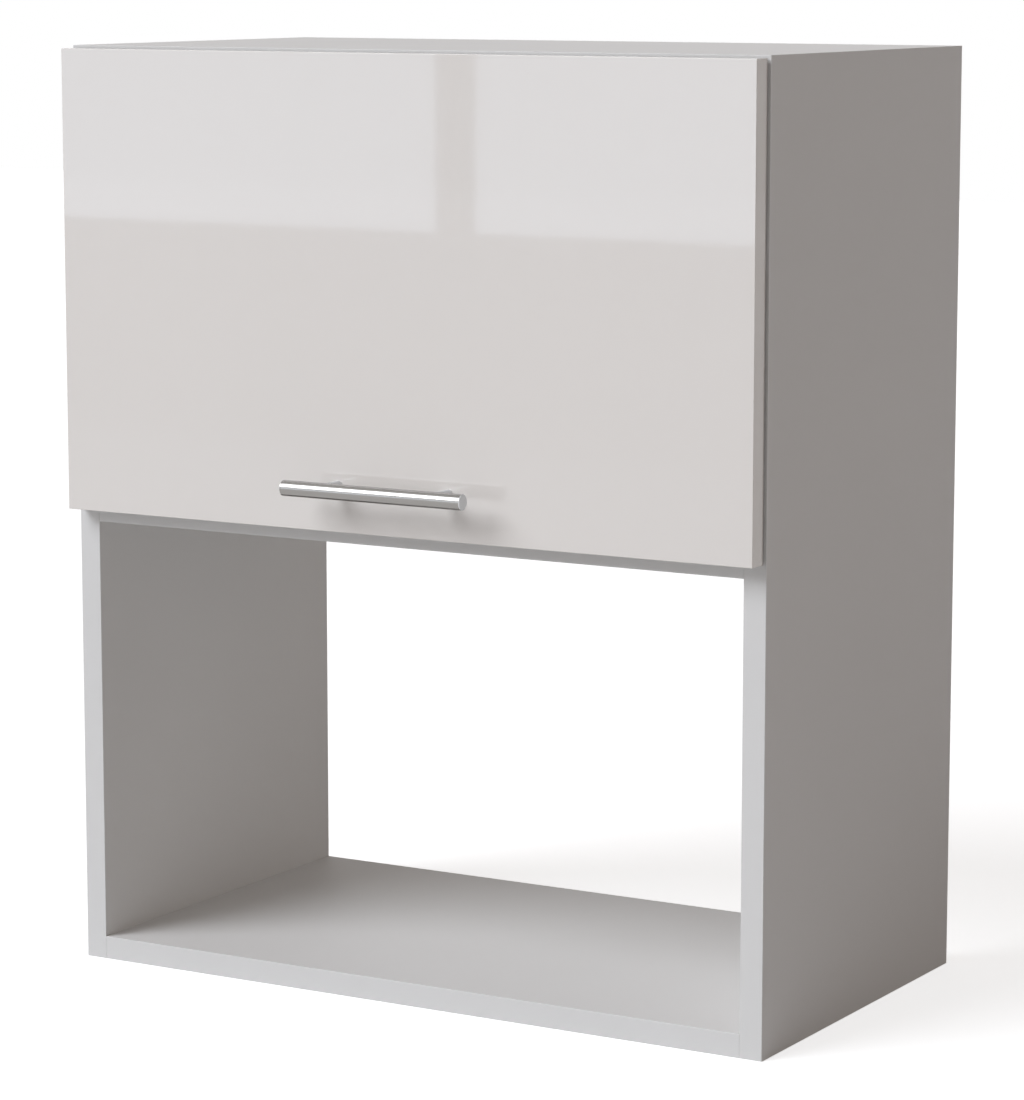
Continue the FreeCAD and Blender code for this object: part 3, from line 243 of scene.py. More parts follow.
# %% [markdown]
# ## High-gloss film
# The flap's front is a warm white PVC film, polished like glass and pressed over
# fibreboard. What says gloss is a clear reflection that ripples a little, because
# the board below telegraphs through the film. So the shader is almost perfectly
# smooth, and a very shallow swell of about a centimetre bends its normal.

# %% High-gloss film
FILM_IOR, FILM_ROUGHNESS = 1.54, 0.03
FILM_SWELL_MM = 14
FILM_DRIFT_MM = 300


def gloss_film():
    """Warm white film: near-mirror roughness, a faint tone drift and the board's slow swell."""
    material, tree, shader = surface("pvc_gloss_film", {"Roughness": FILM_ROUGHNESS, "IOR": FILM_IOR})
    place = add(tree, "TexCoord").outputs["Object"]
    drift = add(tree, "TexNoise", {"Vector": place, "Scale": repeats(FILM_DRIFT_MM), "Detail": 1.0})
    colour = add(tree, "Mix", {"Factor": drift, "A": linear("#E4E0DB"), "B": linear("#E8E4DF")},
                 data_type="RGBA")
    swell = add(tree, "TexNoise", {"Vector": place, "Scale": repeats(FILM_SWELL_MM), "Detail": 1.0})
    bump = add(tree, "Bump", {"Height": swell, "Strength": 0.2, "Distance": 0.02 * MM})
    connect(tree, shader, {"Base Color": colour, "Normal": bump})
    return material


film_white = gloss_film()
print("film:", film_white.name)

# %% [markdown]
# ## Fibreboard and hardboard
# The flap's core is medium-density fibreboard with white melamine paper on the back,
# and its bores show the tan fibre. The back panel is thin hardboard: lacquered white
# on the side that faces the compartment, bare brown behind. Both are two finishes on
# one solid, told apart by a plane, as on the panels.

# %% Fibreboard and hardboard
FIBRE_MM = 2.4      # real fibres are finer, drawn coarser so that they show
MAT_MM = 60         # the wet fibre mat settles in clouds of about this size
MAT_SHARE = 0.25    # the clouds are much fainter than the fibres
FACING_ROUGHNESS, FIBRE_ROUGHNESS = 0.42, 0.8


def faced_fibre(name, plane, paper, dark, light):
    """White facing on the plane y = plane, pressed brown fibre elsewhere."""
    material, tree, shader = surface(name, {"IOR": RESIN_IOR})
    place = add(tree, "TexCoord").outputs["Object"]
    depth = add(tree, "SeparateXYZ", {"Vector": place}).outputs["Y"]
    facing = add(tree, "Math", {0: depth, 1: plane, 2: FACE_TOLERANCE}, operation="COMPARE")
    fibre = add(tree, "TexNoise", {"Vector": place, "Scale": repeats(FIBRE_MM), "Detail": 5.0,
                                   "Roughness": 0.7})
    matted = add(tree, "TexNoise", {"Vector": place, "Scale": repeats(MAT_MM), "Detail": 3.0})
    tone = add(tree, "Math", {0: matted, 1: MAT_SHARE, 2: fibre}, operation="MULTIPLY_ADD")
    tone = add(tree, "MapRange", {"Value": tone, "From Min": 0.35, "From Max": 0.9})
    brown = add(tree, "Mix", {"Factor": tone, "A": linear(dark), "B": linear(light)}, data_type="RGBA")
    colour = add(tree, "Mix", {"Factor": facing, "A": brown, "B": linear(paper)}, data_type="RGBA")
    rough = add(tree, "MapRange", {"Value": facing, "To Min": FIBRE_ROUGHNESS,
                                   "To Max": FACING_ROUGHNESS})
    bump = add(tree, "Bump", {"Height": fibre, "Strength": 0.25, "Distance": 0.04 * MM})
    connect(tree, shader, {"Base Color": colour, "Roughness": rough, "Normal": bump})
    return material


core_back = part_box("door_core")[1].y
flap_board = faced_fibre("fibreboard_white_back", core_back, "#DDDCDA", "#A5835B", "#C3A47C")
back_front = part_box("back_panel")[0].y
lacquered_hardboard = faced_fibre("hardboard_white_front", back_front, "#D9D8D5", "#866243", "#A8845F")
print("fibreboard facing at y =", round(core_back, 4), "hardboard facing at y =", round(back_front, 4))

# %% [markdown]
# ## Metals
# The handle is stainless steel brushed along its length. Hinges, brackets and screws
# are pressed steel with a thin bright nickel plate, the cam locks and hinge cups are
# die-cast zinc, tumbled dull, and the strut rods are ground and hard-chromed. A metal
# is its reflection colour, its roughness and the direction of its scratches, so one
# recipe takes those. Lines are noise stretched along an axis of the piece, and the
# spread says how much the roughness wanders: little on plating, more on brushed work.

# %% Metals
def worked_metal(name, dark, light, roughness, spread, line_mm, depth_mm, stretch=EVEN):
    """A metal with fine marks: noise of the given size, stretched along x, y and z."""
    material, tree, shader = surface(name, {"Metallic": 1.0})
    place = add(tree, "TexCoord").outputs["Object"]
    along = add(tree, "Mapping", {"Vector": place, "Scale": [1 / share for share in stretch]})
    lines = add(tree, "TexNoise", {"Vector": along, "Scale": repeats(line_mm), "Detail": 3.0})
    colour = add(tree, "Mix", {"Factor": lines, "A": linear(dark), "B": linear(light)}, data_type="RGBA")
    rough = add(tree, "MapRange", {"Value": lines, "To Min": roughness - spread,
                                   "To Max": roughness + spread})
    bump = add(tree, "Bump", {"Height": lines, "Strength": 0.2, "Distance": depth_mm * MM})
    connect(tree, shader, {"Base Color": colour, "Roughness": rough, "Normal": bump})
    return material


# Brushed stainless steel: long fine lines draw highlights out across them. Its grey is darker than real stainless,
# which is painted shade standing in for dim surroundings in its reflections.
brushed_steel_painted_shade = worked_metal("stainless_brushed_painted_shade", "#8A8885", "#9B9996", roughness=0.2, spread=0.06,
                             line_mm=0.5, depth_mm=0.003, stretch=(240, 1, 1))
# Stainless steel for the bar's ends and the posts: duller, and painted paler than the bar. The paleness is painted
# light that stands in for bright reflections on them.
steel_painted_lighter = worked_metal("stainless_painted_lighter", "#C4C6C8", "#D0D2D4", roughness=0.34, spread=0.06,
                            line_mm=0.5, depth_mm=0.003, stretch=(1, 60, 1))
# Nickel-plated steel: warm, bright and even.
nickel_plate = worked_metal("steel_nickel_plated", "#C4C2BD", "#CBC9C4", roughness=0.3, spread=0.02,
                            line_mm=1.2, depth_mm=0.001)
# Die-cast zinc, tumbled: a dull, slightly pebbled grey.
cast_zinc = worked_metal("zinc_die_cast", "#ACADAF", "#B8B9BB", roughness=0.4, spread=0.05,
                         line_mm=1.5, depth_mm=0.006)
# Ground and hard-chromed steel: cool and close to a mirror.
hard_chrome = worked_metal("steel_hard_chromed", "#C4C5C8", "#D2D3D6", roughness=0.1, spread=0.03,
                           line_mm=0.8, depth_mm=0.002)
print("metals:", brushed_steel_painted_shade.name, steel_painted_lighter.name, nickel_plate.name, cast_zinc.name,
      hard_chrome.name)

# %% [markdown]
# ## Lacquered strut tube and beech dowels
# The gas strut's tube is steel under silver-grey powder lacquer, which levels into a
# soft orange peel. The dowels are beech: pale pink-brown with short dark flecks along
# the grain, which runs across the cabinet.

# %% Lacquer and beech
# Powder lacquer over steel: flakes in it give a soft metallic grey.
silver_lacquer = plain_finish("steel_silver_lacquer", "#A3A5A8", "#B1B3B6", roughness=0.34, grain_mm=1.8,
                              depth_mm=0.03, extra={"Metallic": 0.35})
# Beech, fluted and dry: matt, with flecks eight times as long as wide.
fluted_beech = plain_finish("beech_fluted", "#A97C52", "#D6B087", roughness=0.62, grain_mm=0.5,
                            depth_mm=0.06, cloud_mm=0.8, stretch=(8, 1, 1))
print("lacquer and wood:", silver_lacquer.name, fluted_beech.name)

# %% [markdown]
# ## Each solid gets its finish
# The record gives every CAD node a material slot, so a table from slot to finish
# dresses them all in one loop. The panels come from their own table, because each
# knows its own face planes.

# %% Dress the CAD nodes
finish_of = {
    "hardboard": lacquered_hardboard,
    "edge_band": abs_band,
    "cast_zinc": cast_zinc,
    "plated_steel": nickel_plate,
    "beech": fluted_beech,
    "housing_plastic": nylon_housing,
    "flap_board": flap_board,
    "gloss_film": film_white,
    "handle_steel": brushed_steel_painted_shade,
    "bumper_rubber": clear_elastomer,
    "strut_lacquer": silver_lacquer,
    "strut_chrome": hard_chrome,
    "socket_plastic": acetal_socket,
}
slot_of = {part["node"]: part["material_slot"] for part in record["subparts"]}
body_of = {name: body for body, names in record["behaviour"]["bodies"].items() for name in names}
for name, node in nodes.items():
    node.material_slots[0].material = panel_finish.get(name) or finish_of[slot_of[name]]
print("dressed", len(nodes), "nodes")

# %% [markdown]
# ## Surfaces from arrays
# Several pieces deserve a finer mesh than the CAD facets. Almost all of them are one
# idea: a profile carried round an outline. The outline is a rectangle with round
# corners, and a circle is only the case whose rectangle has no size. Each profile
# point says how far inside the outline it lies and at what height. Whole arrays are
# worked out at once, and the mesh takes them in one call each.

# %% Surface helpers
ROUND_STEPS = 6
SHARP_ANGLE = math.radians(40)
TOUCHING = 0.001 * MM   # points closer than this are one
X, Y, Z = np.eye(3)


def carried_round(profile, half_size, corner, steps=ROUND_STEPS):
    """A profile (inset, height) carried round a rectangle with round corners.

    p(s, a) = centre of the corner + (corner - inset(s)) * (cos a, sin a), at height(s).
    Insets larger than the corner radius are flat runs, where the rectangle shrinks instead."""
    profile = np.asarray(profile, float)
    turn = np.linspace(0, 0.5 * np.pi, steps + 1)
    angle = (turn[None, :] + np.arange(4)[:, None] * 0.5 * np.pi).ravel()
    signs = np.repeat(np.array([(1, 1), (-1, 1), (-1, -1), (1, -1)], float), steps + 1, axis=0)
    inset, height = profile[:, 0:1], profile[:, 1:2]
    radius = np.maximum(corner - inset, 0)
    shrink = np.maximum(inset - corner, 0)
    reach = np.maximum(np.asarray(half_size, float)[None, None, :] - shrink[:, :, None], 0)
    across = signs[None, :, 0] * reach[:, :, 0] + radius * np.cos(angle)
    along = signs[None, :, 1] * reach[:, :, 1] + radius * np.sin(angle)
    points = np.stack([across, along, np.broadcast_to(height, across.shape)], axis=-1)
    return points.reshape(-1, 3), ring_quads(len(profile), len(angle))


def ring_quads(rows, columns):
    """Quads between neighbouring rings, and each ring closed on itself."""
    row, column = np.meshgrid(np.arange(rows - 1), np.arange(columns), indexing="ij")
    following = (column + 1) % columns
    corners = [row * columns + column, row * columns + following,
               (row + 1) * columns + following, (row + 1) * columns + column]
    return np.stack(corners, axis=-1).reshape(-1, 4)


def arc(centre, radius, start, end, steps=ROUND_STEPS):
    """Points on an arc in the profile plane: centre + radius * (cos a, sin a), angles in degrees."""
    angle = np.radians(np.linspace(start, end, steps + 1))
    return np.column_stack([centre[0] + radius * np.cos(angle), centre[1] + radius * np.sin(angle)])


def stood(points, origin, across, along, up):
    """Points of a drawing placed in the frame: origin + x * across + y * along + z * up."""
    return np.asarray(origin) + points @ np.array([across, along, up], float)


def joined(parts):
    """Several (points, quads) pieces as one pair of arrays."""
    points, quads = zip(*parts)
    starts = np.cumsum([0] + [len(piece) for piece in points[:-1]])
    return np.vstack(points), np.vstack([piece + start for piece, start in zip(quads, starts)])


def make_piece(name, points, quads, node, material=None, beside_slot=None):
    """Puts arrays into a mesh, closes seams and poles and turns faces outwards."""
    mesh = bpy.data.meshes.new(name)
    mesh.from_pydata(points.tolist(), [], quads.tolist())
    shell = bmesh.new()
    shell.from_mesh(mesh)
    bmesh.ops.remove_doubles(shell, verts=shell.verts, dist=TOUCHING)
    bmesh.ops.holes_fill(shell, edges=shell.edges, sides=0)
    bmesh.ops.recalc_face_normals(shell, faces=shell.faces)
    shell.to_mesh(mesh)
    shell.free()
    return add_piece(name, mesh, node, material, beside_slot)


def add_piece(name, mesh, node, material=None, beside_slot=None):
    """Shades a mesh smooth up to its sharp edges and rides it on a CAD node's body, in the node's place.

    The node gives slot and finish too. A piece beside the node, not in its place, has its own slot."""
    slot = beside_slot or slot_of[node]
    replaced = [] if beside_slot else [node]
    mesh.polygons.foreach_set("use_smooth", np.ones(len(mesh.polygons), bool))
    mesh.set_sharp_from_angle(angle=SHARP_ANGLE)
    mesh.materials.append(material or finish_of[slot])
    piece = bpy.data.objects.new(name, mesh)
    bpy.context.scene.collection.objects.link(piece)
    flats = piece.modifiers.new("flat_faces_stay_flat", "WEIGHTED_NORMAL")
    flats.keep_sharp = True
    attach(piece, body_of[node])
    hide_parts(*replaced)
    print(name, len(mesh.vertices), "points")
    return piece


print("helpers ready, rings of", 4 * (ROUND_STEPS + 1), "points")

# %% [markdown]
# ## Edge bands with a trimmed arris
# A real band is trimmed with a small radius, which catches a thin light along every
# front edge. A bevel on the CAD solid would change it, so the band is made again in
# the same place: its outline is the strip seen from the front, and its profile comes
# forward and rolls over.

# %% Edge bands
BAND_ARRIS = 0.3 * MM
MIDDLE = 1.0    # an inset past any half width, so that the outline shrinks to its middle line


def box_centre(node):
    """Middle and half size of a node's box."""
    low, high = (np.array(corner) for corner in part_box(node))
    return (low + high) / 2, (high - low) / 2


for strip in ("left", "right", "top", "middle", "bottom"):
    node = "edge_band_" + strip
    centre, half = box_centre(node)
    roll = arc((BAND_ARRIS, half[1] - BAND_ARRIS), BAND_ARRIS, 180, 90)
    profile = np.vstack([[(MIDDLE, -half[1]), (0, -half[1])], roll, [(MIDDLE, half[1])]])
    points, quads = carried_round(profile, half[[0, 2]] - BAND_ARRIS, BAND_ARRIS)
    make_piece(node + "_trimmed", stood(points, centre, X, Z, -Y), quads, node)

# %% [markdown]
# ## The flap's film
# The film is one skin, 0.4 mm thick, over the front and round the edges to the back.
# It could be a solidified sheet, but carrying the skin's section round the flap's
# outline gives the same wall with an exact roll at the front edge.

# %% Gloss film over the flap
FILM_ROLL = 0.5 * MM
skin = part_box("door_core")[0].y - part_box("door_film")[0].y
centre, half = box_centre("door_film")
outer = arc((FILM_ROLL, half[1] - FILM_ROLL), FILM_ROLL, 180, 90)
inner = arc((FILM_ROLL, half[1] - FILM_ROLL), FILM_ROLL - skin, 90, 180)
profile = np.vstack([[(MIDDLE, half[1])], outer[::-1], [(0, -half[1]), (skin, -half[1])], inner[::-1],
                     [(MIDDLE, half[1] - skin)]])
points, quads = carried_round(profile, half[[0, 2]] - FILM_ROLL, FILM_ROLL)
make_piece("flap_gloss_front", stood(points, centre, X, Z, -Y), quads, "door_film")
print("film skin", round(skin / MM, 2), "mm")

# %% [markdown]
# ## Bar handle
# The bar is a 12 mm rod with broken edges at its ends. Its ends and the posts are painted
# paler than its brushed length: painted light, standing in for bright reflections there.
# Each post is a shorter rod whose end is coped, which means cut to the bar's curve, so
# that it seats without a gap. A boolean would leave ragged triangles there. A grid
# follows the cope exactly, because the length of the post is a formula of the angle round it.

# %% Handle bar
TURNED_STEPS = 16
BAR_CHAMFER = 0.5 * MM
END_FACING = 0.5    # faces within 60 degrees of the bar's axis belong to its ends


def turned(profile, steps=TURNED_STEPS):
    """A profile (radius, height) turned about an axis: the case of a rectangle with no size."""
    profile = np.asarray(profile, float)
    widest = profile[:, 0].max()
    insets = np.column_stack([widest - profile[:, 0], profile[:, 1]])
    return carried_round(insets, (0, 0), widest, steps)


bar_centre, bar_half = box_centre("handle_bar")
bar_end, bar_radius = bar_half[0], bar_half[2]
end_profile = np.array([(bar_radius, bar_end - BAR_CHAMFER), (bar_radius - BAR_CHAMFER, bar_end),
                        (0, bar_end)])
points, quads = turned(np.vstack([end_profile[::-1] * (1, -1), end_profile]))
# The bar's length takes the darker steel, which is painted shade in its reflections.
bar = make_piece("handle_bar_brushed", stood(points, bar_centre, Y, Z, X), quads, "handle_bar")
# The end faces take the paler steel, which is painted light.
bar.data.materials.append(steel_painted_lighter)
facing = np.empty(3 * len(bar.data.polygons))
bar.data.polygons.foreach_get("normal", facing)
is_end = np.abs(facing.reshape(-1, 3) @ X) > END_FACING
bar.data.polygons.foreach_set("material_index", is_end.astype(np.int32))
# These end faces are the ones painted lighter.
print(is_end.sum(), "faces of the bar's ends are turned, not brushed")

# %% Handle posts
def coped_post(radius, axis_height, bar_radius, rows=8, cap_rows=6, columns=48):
    """A post from the plane z = 0 to a bar across its top, closed by a cap that follows the bar.

    The bar's surface over a point is top(x, y) = axis_height - sqrt(bar_radius ** 2 - y ** 2).
    The wall rises to it in equal shares of its height, and the cap repeats it on smaller and
    smaller circles."""
    angle = np.linspace(0, 2 * np.pi, columns, endpoint=False)
    size = np.concatenate([np.ones(rows), np.linspace(1, 0, cap_rows)[1:]])[:, None]
    share = np.concatenate([np.linspace(0, 1, rows), np.ones(cap_rows - 1)])[:, None]
    x, y = radius * size * np.cos(angle), radius * size * np.sin(angle)
    height = share * (axis_height - np.sqrt(bar_radius ** 2 - y ** 2))
    return np.stack([x, y, height], axis=-1).reshape(-1, 3), ring_quads(len(size), columns)


for side in HANDS:
    node = f"handle_post_{side}"
    centre, half = box_centre(node)
    foot_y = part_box(node)[1].y
    points, quads = coped_post(half[0], foot_y - bar_centre[1], bar_radius)
    placed = stood(points, (centre[0], foot_y, centre[2]), X, Z, -Y)
    # The posts take the paler steel: painted light where the bar shades them.
    make_piece(node + "_coped", placed, quads, node, steel_painted_lighter)

# %% [markdown]
# ## Finding the separate solids
# All screws of one kind share one CAD node, so the script has to find out where each
# one is. Points joined by an edge belong to the same solid. Every point takes the
# lowest number among its neighbours, again and again, until nothing changes; then each
# solid has one number. Its box and its distances from an axis tell the rest.

# %% Solids of a node
def merged_copy(node):
    """A node's loose triangles as one joined mesh, ready to be worked on."""
    shell = bmesh.new()
    shell.from_mesh(nodes[node].data)
    shell.transform(nodes[node].matrix_world)
    bmesh.ops.remove_doubles(shell, verts=shell.verts, dist=TOUCHING)
    return shell


def solids(node):
    """The corner points of each separate solid of a node."""
    shell = merged_copy(node)
    mesh = bpy.data.meshes.new("merged_copy")
    shell.to_mesh(mesh)
    shell.free()
    points = np.empty(3 * len(mesh.vertices))
    mesh.vertices.foreach_get("co", points)
    ends = np.empty(2 * len(mesh.edges), int)
    mesh.edges.foreach_get("vertices", ends)
    bpy.data.meshes.remove(mesh)
    points, ends = points.reshape(-1, 3), ends.reshape(-1, 2)
    label, settled = np.arange(len(points)), False
    while not settled:
        lowest = label.copy()
        np.minimum.at(lowest, ends[:, 0], label[ends[:, 1]])
        np.minimum.at(lowest, ends[:, 1], label[ends[:, 0]])
        settled = np.array_equal(lowest, label)
        label = lowest
    return [points[label == seed] for seed in np.unique(label)]


def about_axis(points, origin, axis):
    """Heights along an axis and distances from it."""
    offset = points - origin
    height = offset @ axis
    return height, np.linalg.norm(offset - np.outer(height, axis), axis=1)


screw_nodes = [name for name in nodes if name.endswith("_screws")]
print({name: len(solids(name)) for name in screw_nodes})

# %% [markdown]
# ## Screws
# A chipboard screw has a domed pan head with a cross recess, struck by a punch, and a
# coarse rolled thread. The head is a height over a disc: a shallow dome less a cross
# with sloping walls. The thread is a radius that depends on height and angle together,
# which is what makes a helix. The crest keeps the radius of the CAD shank, so the screw
# still fits its hole. Head and shank have equally many columns, so that one grid runs
# from the middle of the recess over the rim to the point.

# %% Screw shapes
HEAD_ROWS, SCREW_COLUMNS = 16, 40
DOME_DROP, RECESS_DEPTH = 0.4, 0.6                      # shares of the head's height
ARM_HALF, ARM_REACH, ARM_SLOPE = 0.13, 0.56, 0.12       # the cross, in shares of the head's radius
THREAD_PITCH = 1.4 * MM
THREAD_ROWS_PER_TURN = 6
THREAD_DEPTH, POINT_LENGTH, POINT_BLUNT = 0.24, 1.6, 0.15   # shares of the shank's radius
round_screw = np.linspace(0, 2 * np.pi, SCREW_COLUMNS, endpoint=False)


def pan_head(radius, height):
    """h(x, y) = height * (1 - DOME_DROP * (r / radius) ** 2), less a share of height in the cross."""
    r = np.linspace(0, radius, HEAD_ROWS)[:, None]
    x, y = r * np.cos(round_screw), r * np.sin(round_screw)

    def inside(limit, offset):
        return np.clip((limit * radius - np.abs(offset)) / (ARM_SLOPE * radius) + 0.5, 0, 1)

    cross = np.maximum(inside(ARM_HALF, x) * inside(ARM_REACH, y),
                       inside(ARM_REACH, x) * inside(ARM_HALF, y))
    top = height * (1 - DOME_DROP * (r / radius) ** 2) - RECESS_DEPTH * height * cross
    rim = np.stack([x[-1], y[-1], np.zeros(SCREW_COLUMNS)], axis=-1)
    return np.vstack([np.stack([x, y, top], axis=-1).reshape(-1, 3), rim])


def threaded_shank(radius, length):
    """r(h, a) = radius * point(h) * (1 - THREAD_DEPTH * tooth), with h downwards.

    The tooth is |2 * fract(h / pitch - a / 2 pi) - 1|, and the point tapers the lower end."""
    h = np.linspace(0, length, int(length / THREAD_PITCH * THREAD_ROWS_PER_TURN))[:, None]
    tooth = np.abs(2 * np.mod(h / THREAD_PITCH - round_screw / (2 * np.pi), 1) - 1)
    point = np.clip((length - h) / (POINT_LENGTH * radius), POINT_BLUNT, 1)
    r = radius * point * (1 - THREAD_DEPTH * tooth)
    return np.stack([r * np.cos(round_screw), r * np.sin(round_screw), np.broadcast_to(-h, r.shape)],
                    axis=-1).reshape(-1, 3)


print("a head of", HEAD_ROWS, "rings")

# %% Screws in place
WIDEST = 0.98       # points beyond this share of the largest radius lie on the widest part
LEVEL = 0.01 * MM   # heights closer than this are the same


def screw_in_place(points):
    """A fine screw where a CAD screw is: its axis is its long side, its head the wide end."""
    low, high = points.min(axis=0), points.max(axis=0)
    middle, axis = (low + high) / 2, np.eye(3)[np.argmax(high - low)]
    height, radius = about_axis(points, middle, axis)
    wide = radius > WIDEST * radius.max()
    head_end = np.sign(height[wide].mean())
    way, height = axis * head_end, height * head_end
    seat, tip = height[wide].min(), height.min()
    shank = radius[height < tip + LEVEL].max()
    fine = np.vstack([pan_head(radius.max(), height.max() - seat), threaded_shank(shank, seat - tip)])
    side = np.roll(way, 1)
    placed = stood(fine, middle + seat * way, side, np.cross(way, side), way)
    return placed, ring_quads(len(fine) // SCREW_COLUMNS, SCREW_COLUMNS)


for name in screw_nodes:
    points, quads = joined([screw_in_place(solid) for solid in solids(name)])
    make_piece(name + "_threaded", points, quads, name)

# %% [markdown]
# ## Gas struts
# The strut's tube is drawn steel: a domed closed end, a rolled groove that holds the
# rod guide and a mouth rolled over it. The rod is ground, so it needs nothing but a
# smooth round. Both are profiles turned about the strut's own axis, which runs from
# the lower ball towards the flap; the joints of the frame know that line.

# %% Strut profiles
PLAY = 0.3 * MM             # round the rod in its guide, the piston in the tube and the ball in its seat
HEEL_DOME = 3 * MM
HEEL_WALLS = 3              # the closed end is this many walls thick
GROOVE = 1.3 * MM           # radius of the rolled groove
GROOVE_OUT = 0.55           # share of that radius by which its centre lies outside the tube
GROOVE_SPREAD = 57          # degrees of its arc to either side of the deepest point
GROOVE_BELOW_MOUTH = 7 * MM
GUIDE_LENGTH = 8 * MM
LIP, LIP_TURN = 1.2 * MM, 150
ROD_CHAMFER = 0.4 * MM


def tube_profile(tube, wall, stub, rod, foot, heel, mouth):
    """Outside from the foot over dome, groove and lip, then inside past the guide to the closed end."""
    dome = arc((tube - HEEL_DOME, heel + HEEL_DOME), HEEL_DOME, 270, 360)
    groove = arc((tube + GROOVE_OUT * GROOVE, mouth - GROOVE_BELOW_MOUTH), GROOVE,
                 180 + GROOVE_SPREAD, 180 - GROOVE_SPREAD)
    lip = arc((tube - LIP, mouth - LIP), LIP, 0, LIP_TURN)
    guide_top, guide_bottom, inside = mouth - LIP, mouth - GUIDE_LENGTH, heel + HEEL_WALLS * wall
    return np.vstack([[(0, foot), (stub, foot), (stub, heel)], dome, groove, lip,
                      [(tube - 2 * LIP, guide_top), (rod + PLAY, guide_top), (rod + PLAY, guide_bottom),
                       (tube - wall, guide_bottom), (tube - wall, inside), (0, inside)]])


def rod_profile(piston, rod, stub, foot, piston_top, shoulder, tip):
    """From the piston's foot along the rod to its chamfered shoulder and the stub in the socket."""
    return [(0, foot), (piston, foot), (piston, piston_top), (rod, piston_top),
            (rod, shoulder - ROD_CHAMFER), (rod - ROD_CHAMFER, shoulder), (stub, shoulder),
            (stub, tip), (0, tip)]


print("tube groove", round(GROOVE_BELOW_MOUTH / MM, 1), "mm below the mouth")

# %% Strut tubes and rods
BROAD = 0.8     # points beyond this share of the largest radius belong to the broad part


def strut_line(side):
    """The lower ball, and the direction from it along the strut."""
    swing, extend = joints[f"strut_{side}_swing"], joints[f"strut_{side}_extend"]
    return np.array(swing["pos_m"]), np.array(extend["axis"])


for side in HANDS:
    ball, along = strut_line(side)
    lie = (ball, X, np.cross(along, X), along)
    cylinder_node, rod_node = f"strut_cylinder_{side}", f"strut_rod_{side}"
    height, radius = about_axis(np.vstack(solids(cylinder_node)), ball, along)
    tube, foot, mouth = radius.max(), height.min(), height.max()
    heel = height[radius > BROAD * tube].min()
    stub = radius[height < heel - LEVEL].max()
    height, radius = about_axis(np.vstack(solids(rod_node)), ball, along)
    piston = radius.max()
    piston_top = height[radius > BROAD * piston].max()
    shoulder = height[radius > stub + LEVEL].max()
    rod = radius[np.abs(height - shoulder) < LEVEL].max()
    points, quads = turned(tube_profile(tube, tube - piston - PLAY, stub, rod, foot, heel, mouth))
    make_piece(cylinder_node + "_drawn", stood(points, *lie), quads, cylinder_node)
    foot, tip = height.min(), height.max()
    points, quads = turned(rod_profile(piston, rod, stub, foot, piston_top, shoulder, tip))
    make_piece(rod_node + "_ground", stood(points, *lie), quads, rod_node)

# %% [markdown]
# ## Ball studs and sockets
# Each end of a strut is a black acetal socket that snaps over a steel ball. The stud is
# turned: ball, waist, flange. The socket is a barrel round the ball with a groove for
# a spring clip of steel wire, and a neck that is coped to the barrel just as the handle
# posts are coped to their bar. The clip is an open ring, so that a screwdriver can lift
# it; that is a circle carried along two thirds of a larger one.

# %% Ball studs
BALL_STEPS = 24
WAIST = 0.52        # its radius as a share of the ball's
PAST_BALL = 2.2     # heights over this many ball radii belong to the flange
WAIST_FLARE, FLANGE_CHAMFER = 0.5 * MM, 0.4 * MM


def ball_stud(node, hand):
    """A turned stud: ball, waist and chamfered flange, from the inboard side outwards."""
    centre, half = box_centre(node)
    length, radius = 2 * half[0], half[1]
    start = centre - hand * half[0] * X
    height, distance = about_axis(np.vstack(solids(node)), start, hand * X)
    waist = WAIST * radius
    flange = height[(distance > WIDEST * radius) & (height > PAST_BALL * radius)].min()
    globe = arc((0, radius), radius, -90, 90 - math.degrees(math.asin(WAIST)), BALL_STEPS)
    profile = np.vstack([globe, [(waist, flange - WAIST_FLARE), (waist + WAIST_FLARE, flange),
                                 (radius - FLANGE_CHAMFER, flange), (radius, flange + FLANGE_CHAMFER),
                                 (radius, length), (0, length)]])
    points, quads = turned(profile)
    return stood(points, start, Y, hand * Z, hand * X), quads


print("a stud's waist has", WAIST, "of the ball's radius")

# %% Sockets and clips
SOCKET_RIM, RIM_TURN = 0.8 * MM, 60
CLIP_WIRE = 0.55 * MM
CLIP_BED, CLIP_MOUTH = 1.4, 2   # half widths of the groove for the clip, in wire radii
CLIP_OPEN = 60                  # degrees of the ring left open to either side
NECK = 0.69                     # its radius as a share of the barrel's
SEAM = 0.02 * MM    # between neck and barrel, too fine to see, so that their faces do not cross
BARREL_ENDS = 0.95  # points beyond this share of the half width lie on the barrel's ends


def wire_ring(radius, wire, start, end, rows=40, columns=10):
    """p(s, t) = (radius + wire * cos t) * (cos s, sin s), wire * sin t: an open ring of wire."""
    s = np.radians(np.linspace(start, end, rows))[:, None]
    t = np.linspace(0, 2 * np.pi, columns, endpoint=False)
    reach = radius + wire * np.cos(t)
    height = np.broadcast_to(wire * np.sin(t), (rows, columns))
    points = np.stack([reach * np.cos(s), reach * np.sin(s), height], axis=-1)
    return points.reshape(-1, 3), ring_quads(rows, columns)


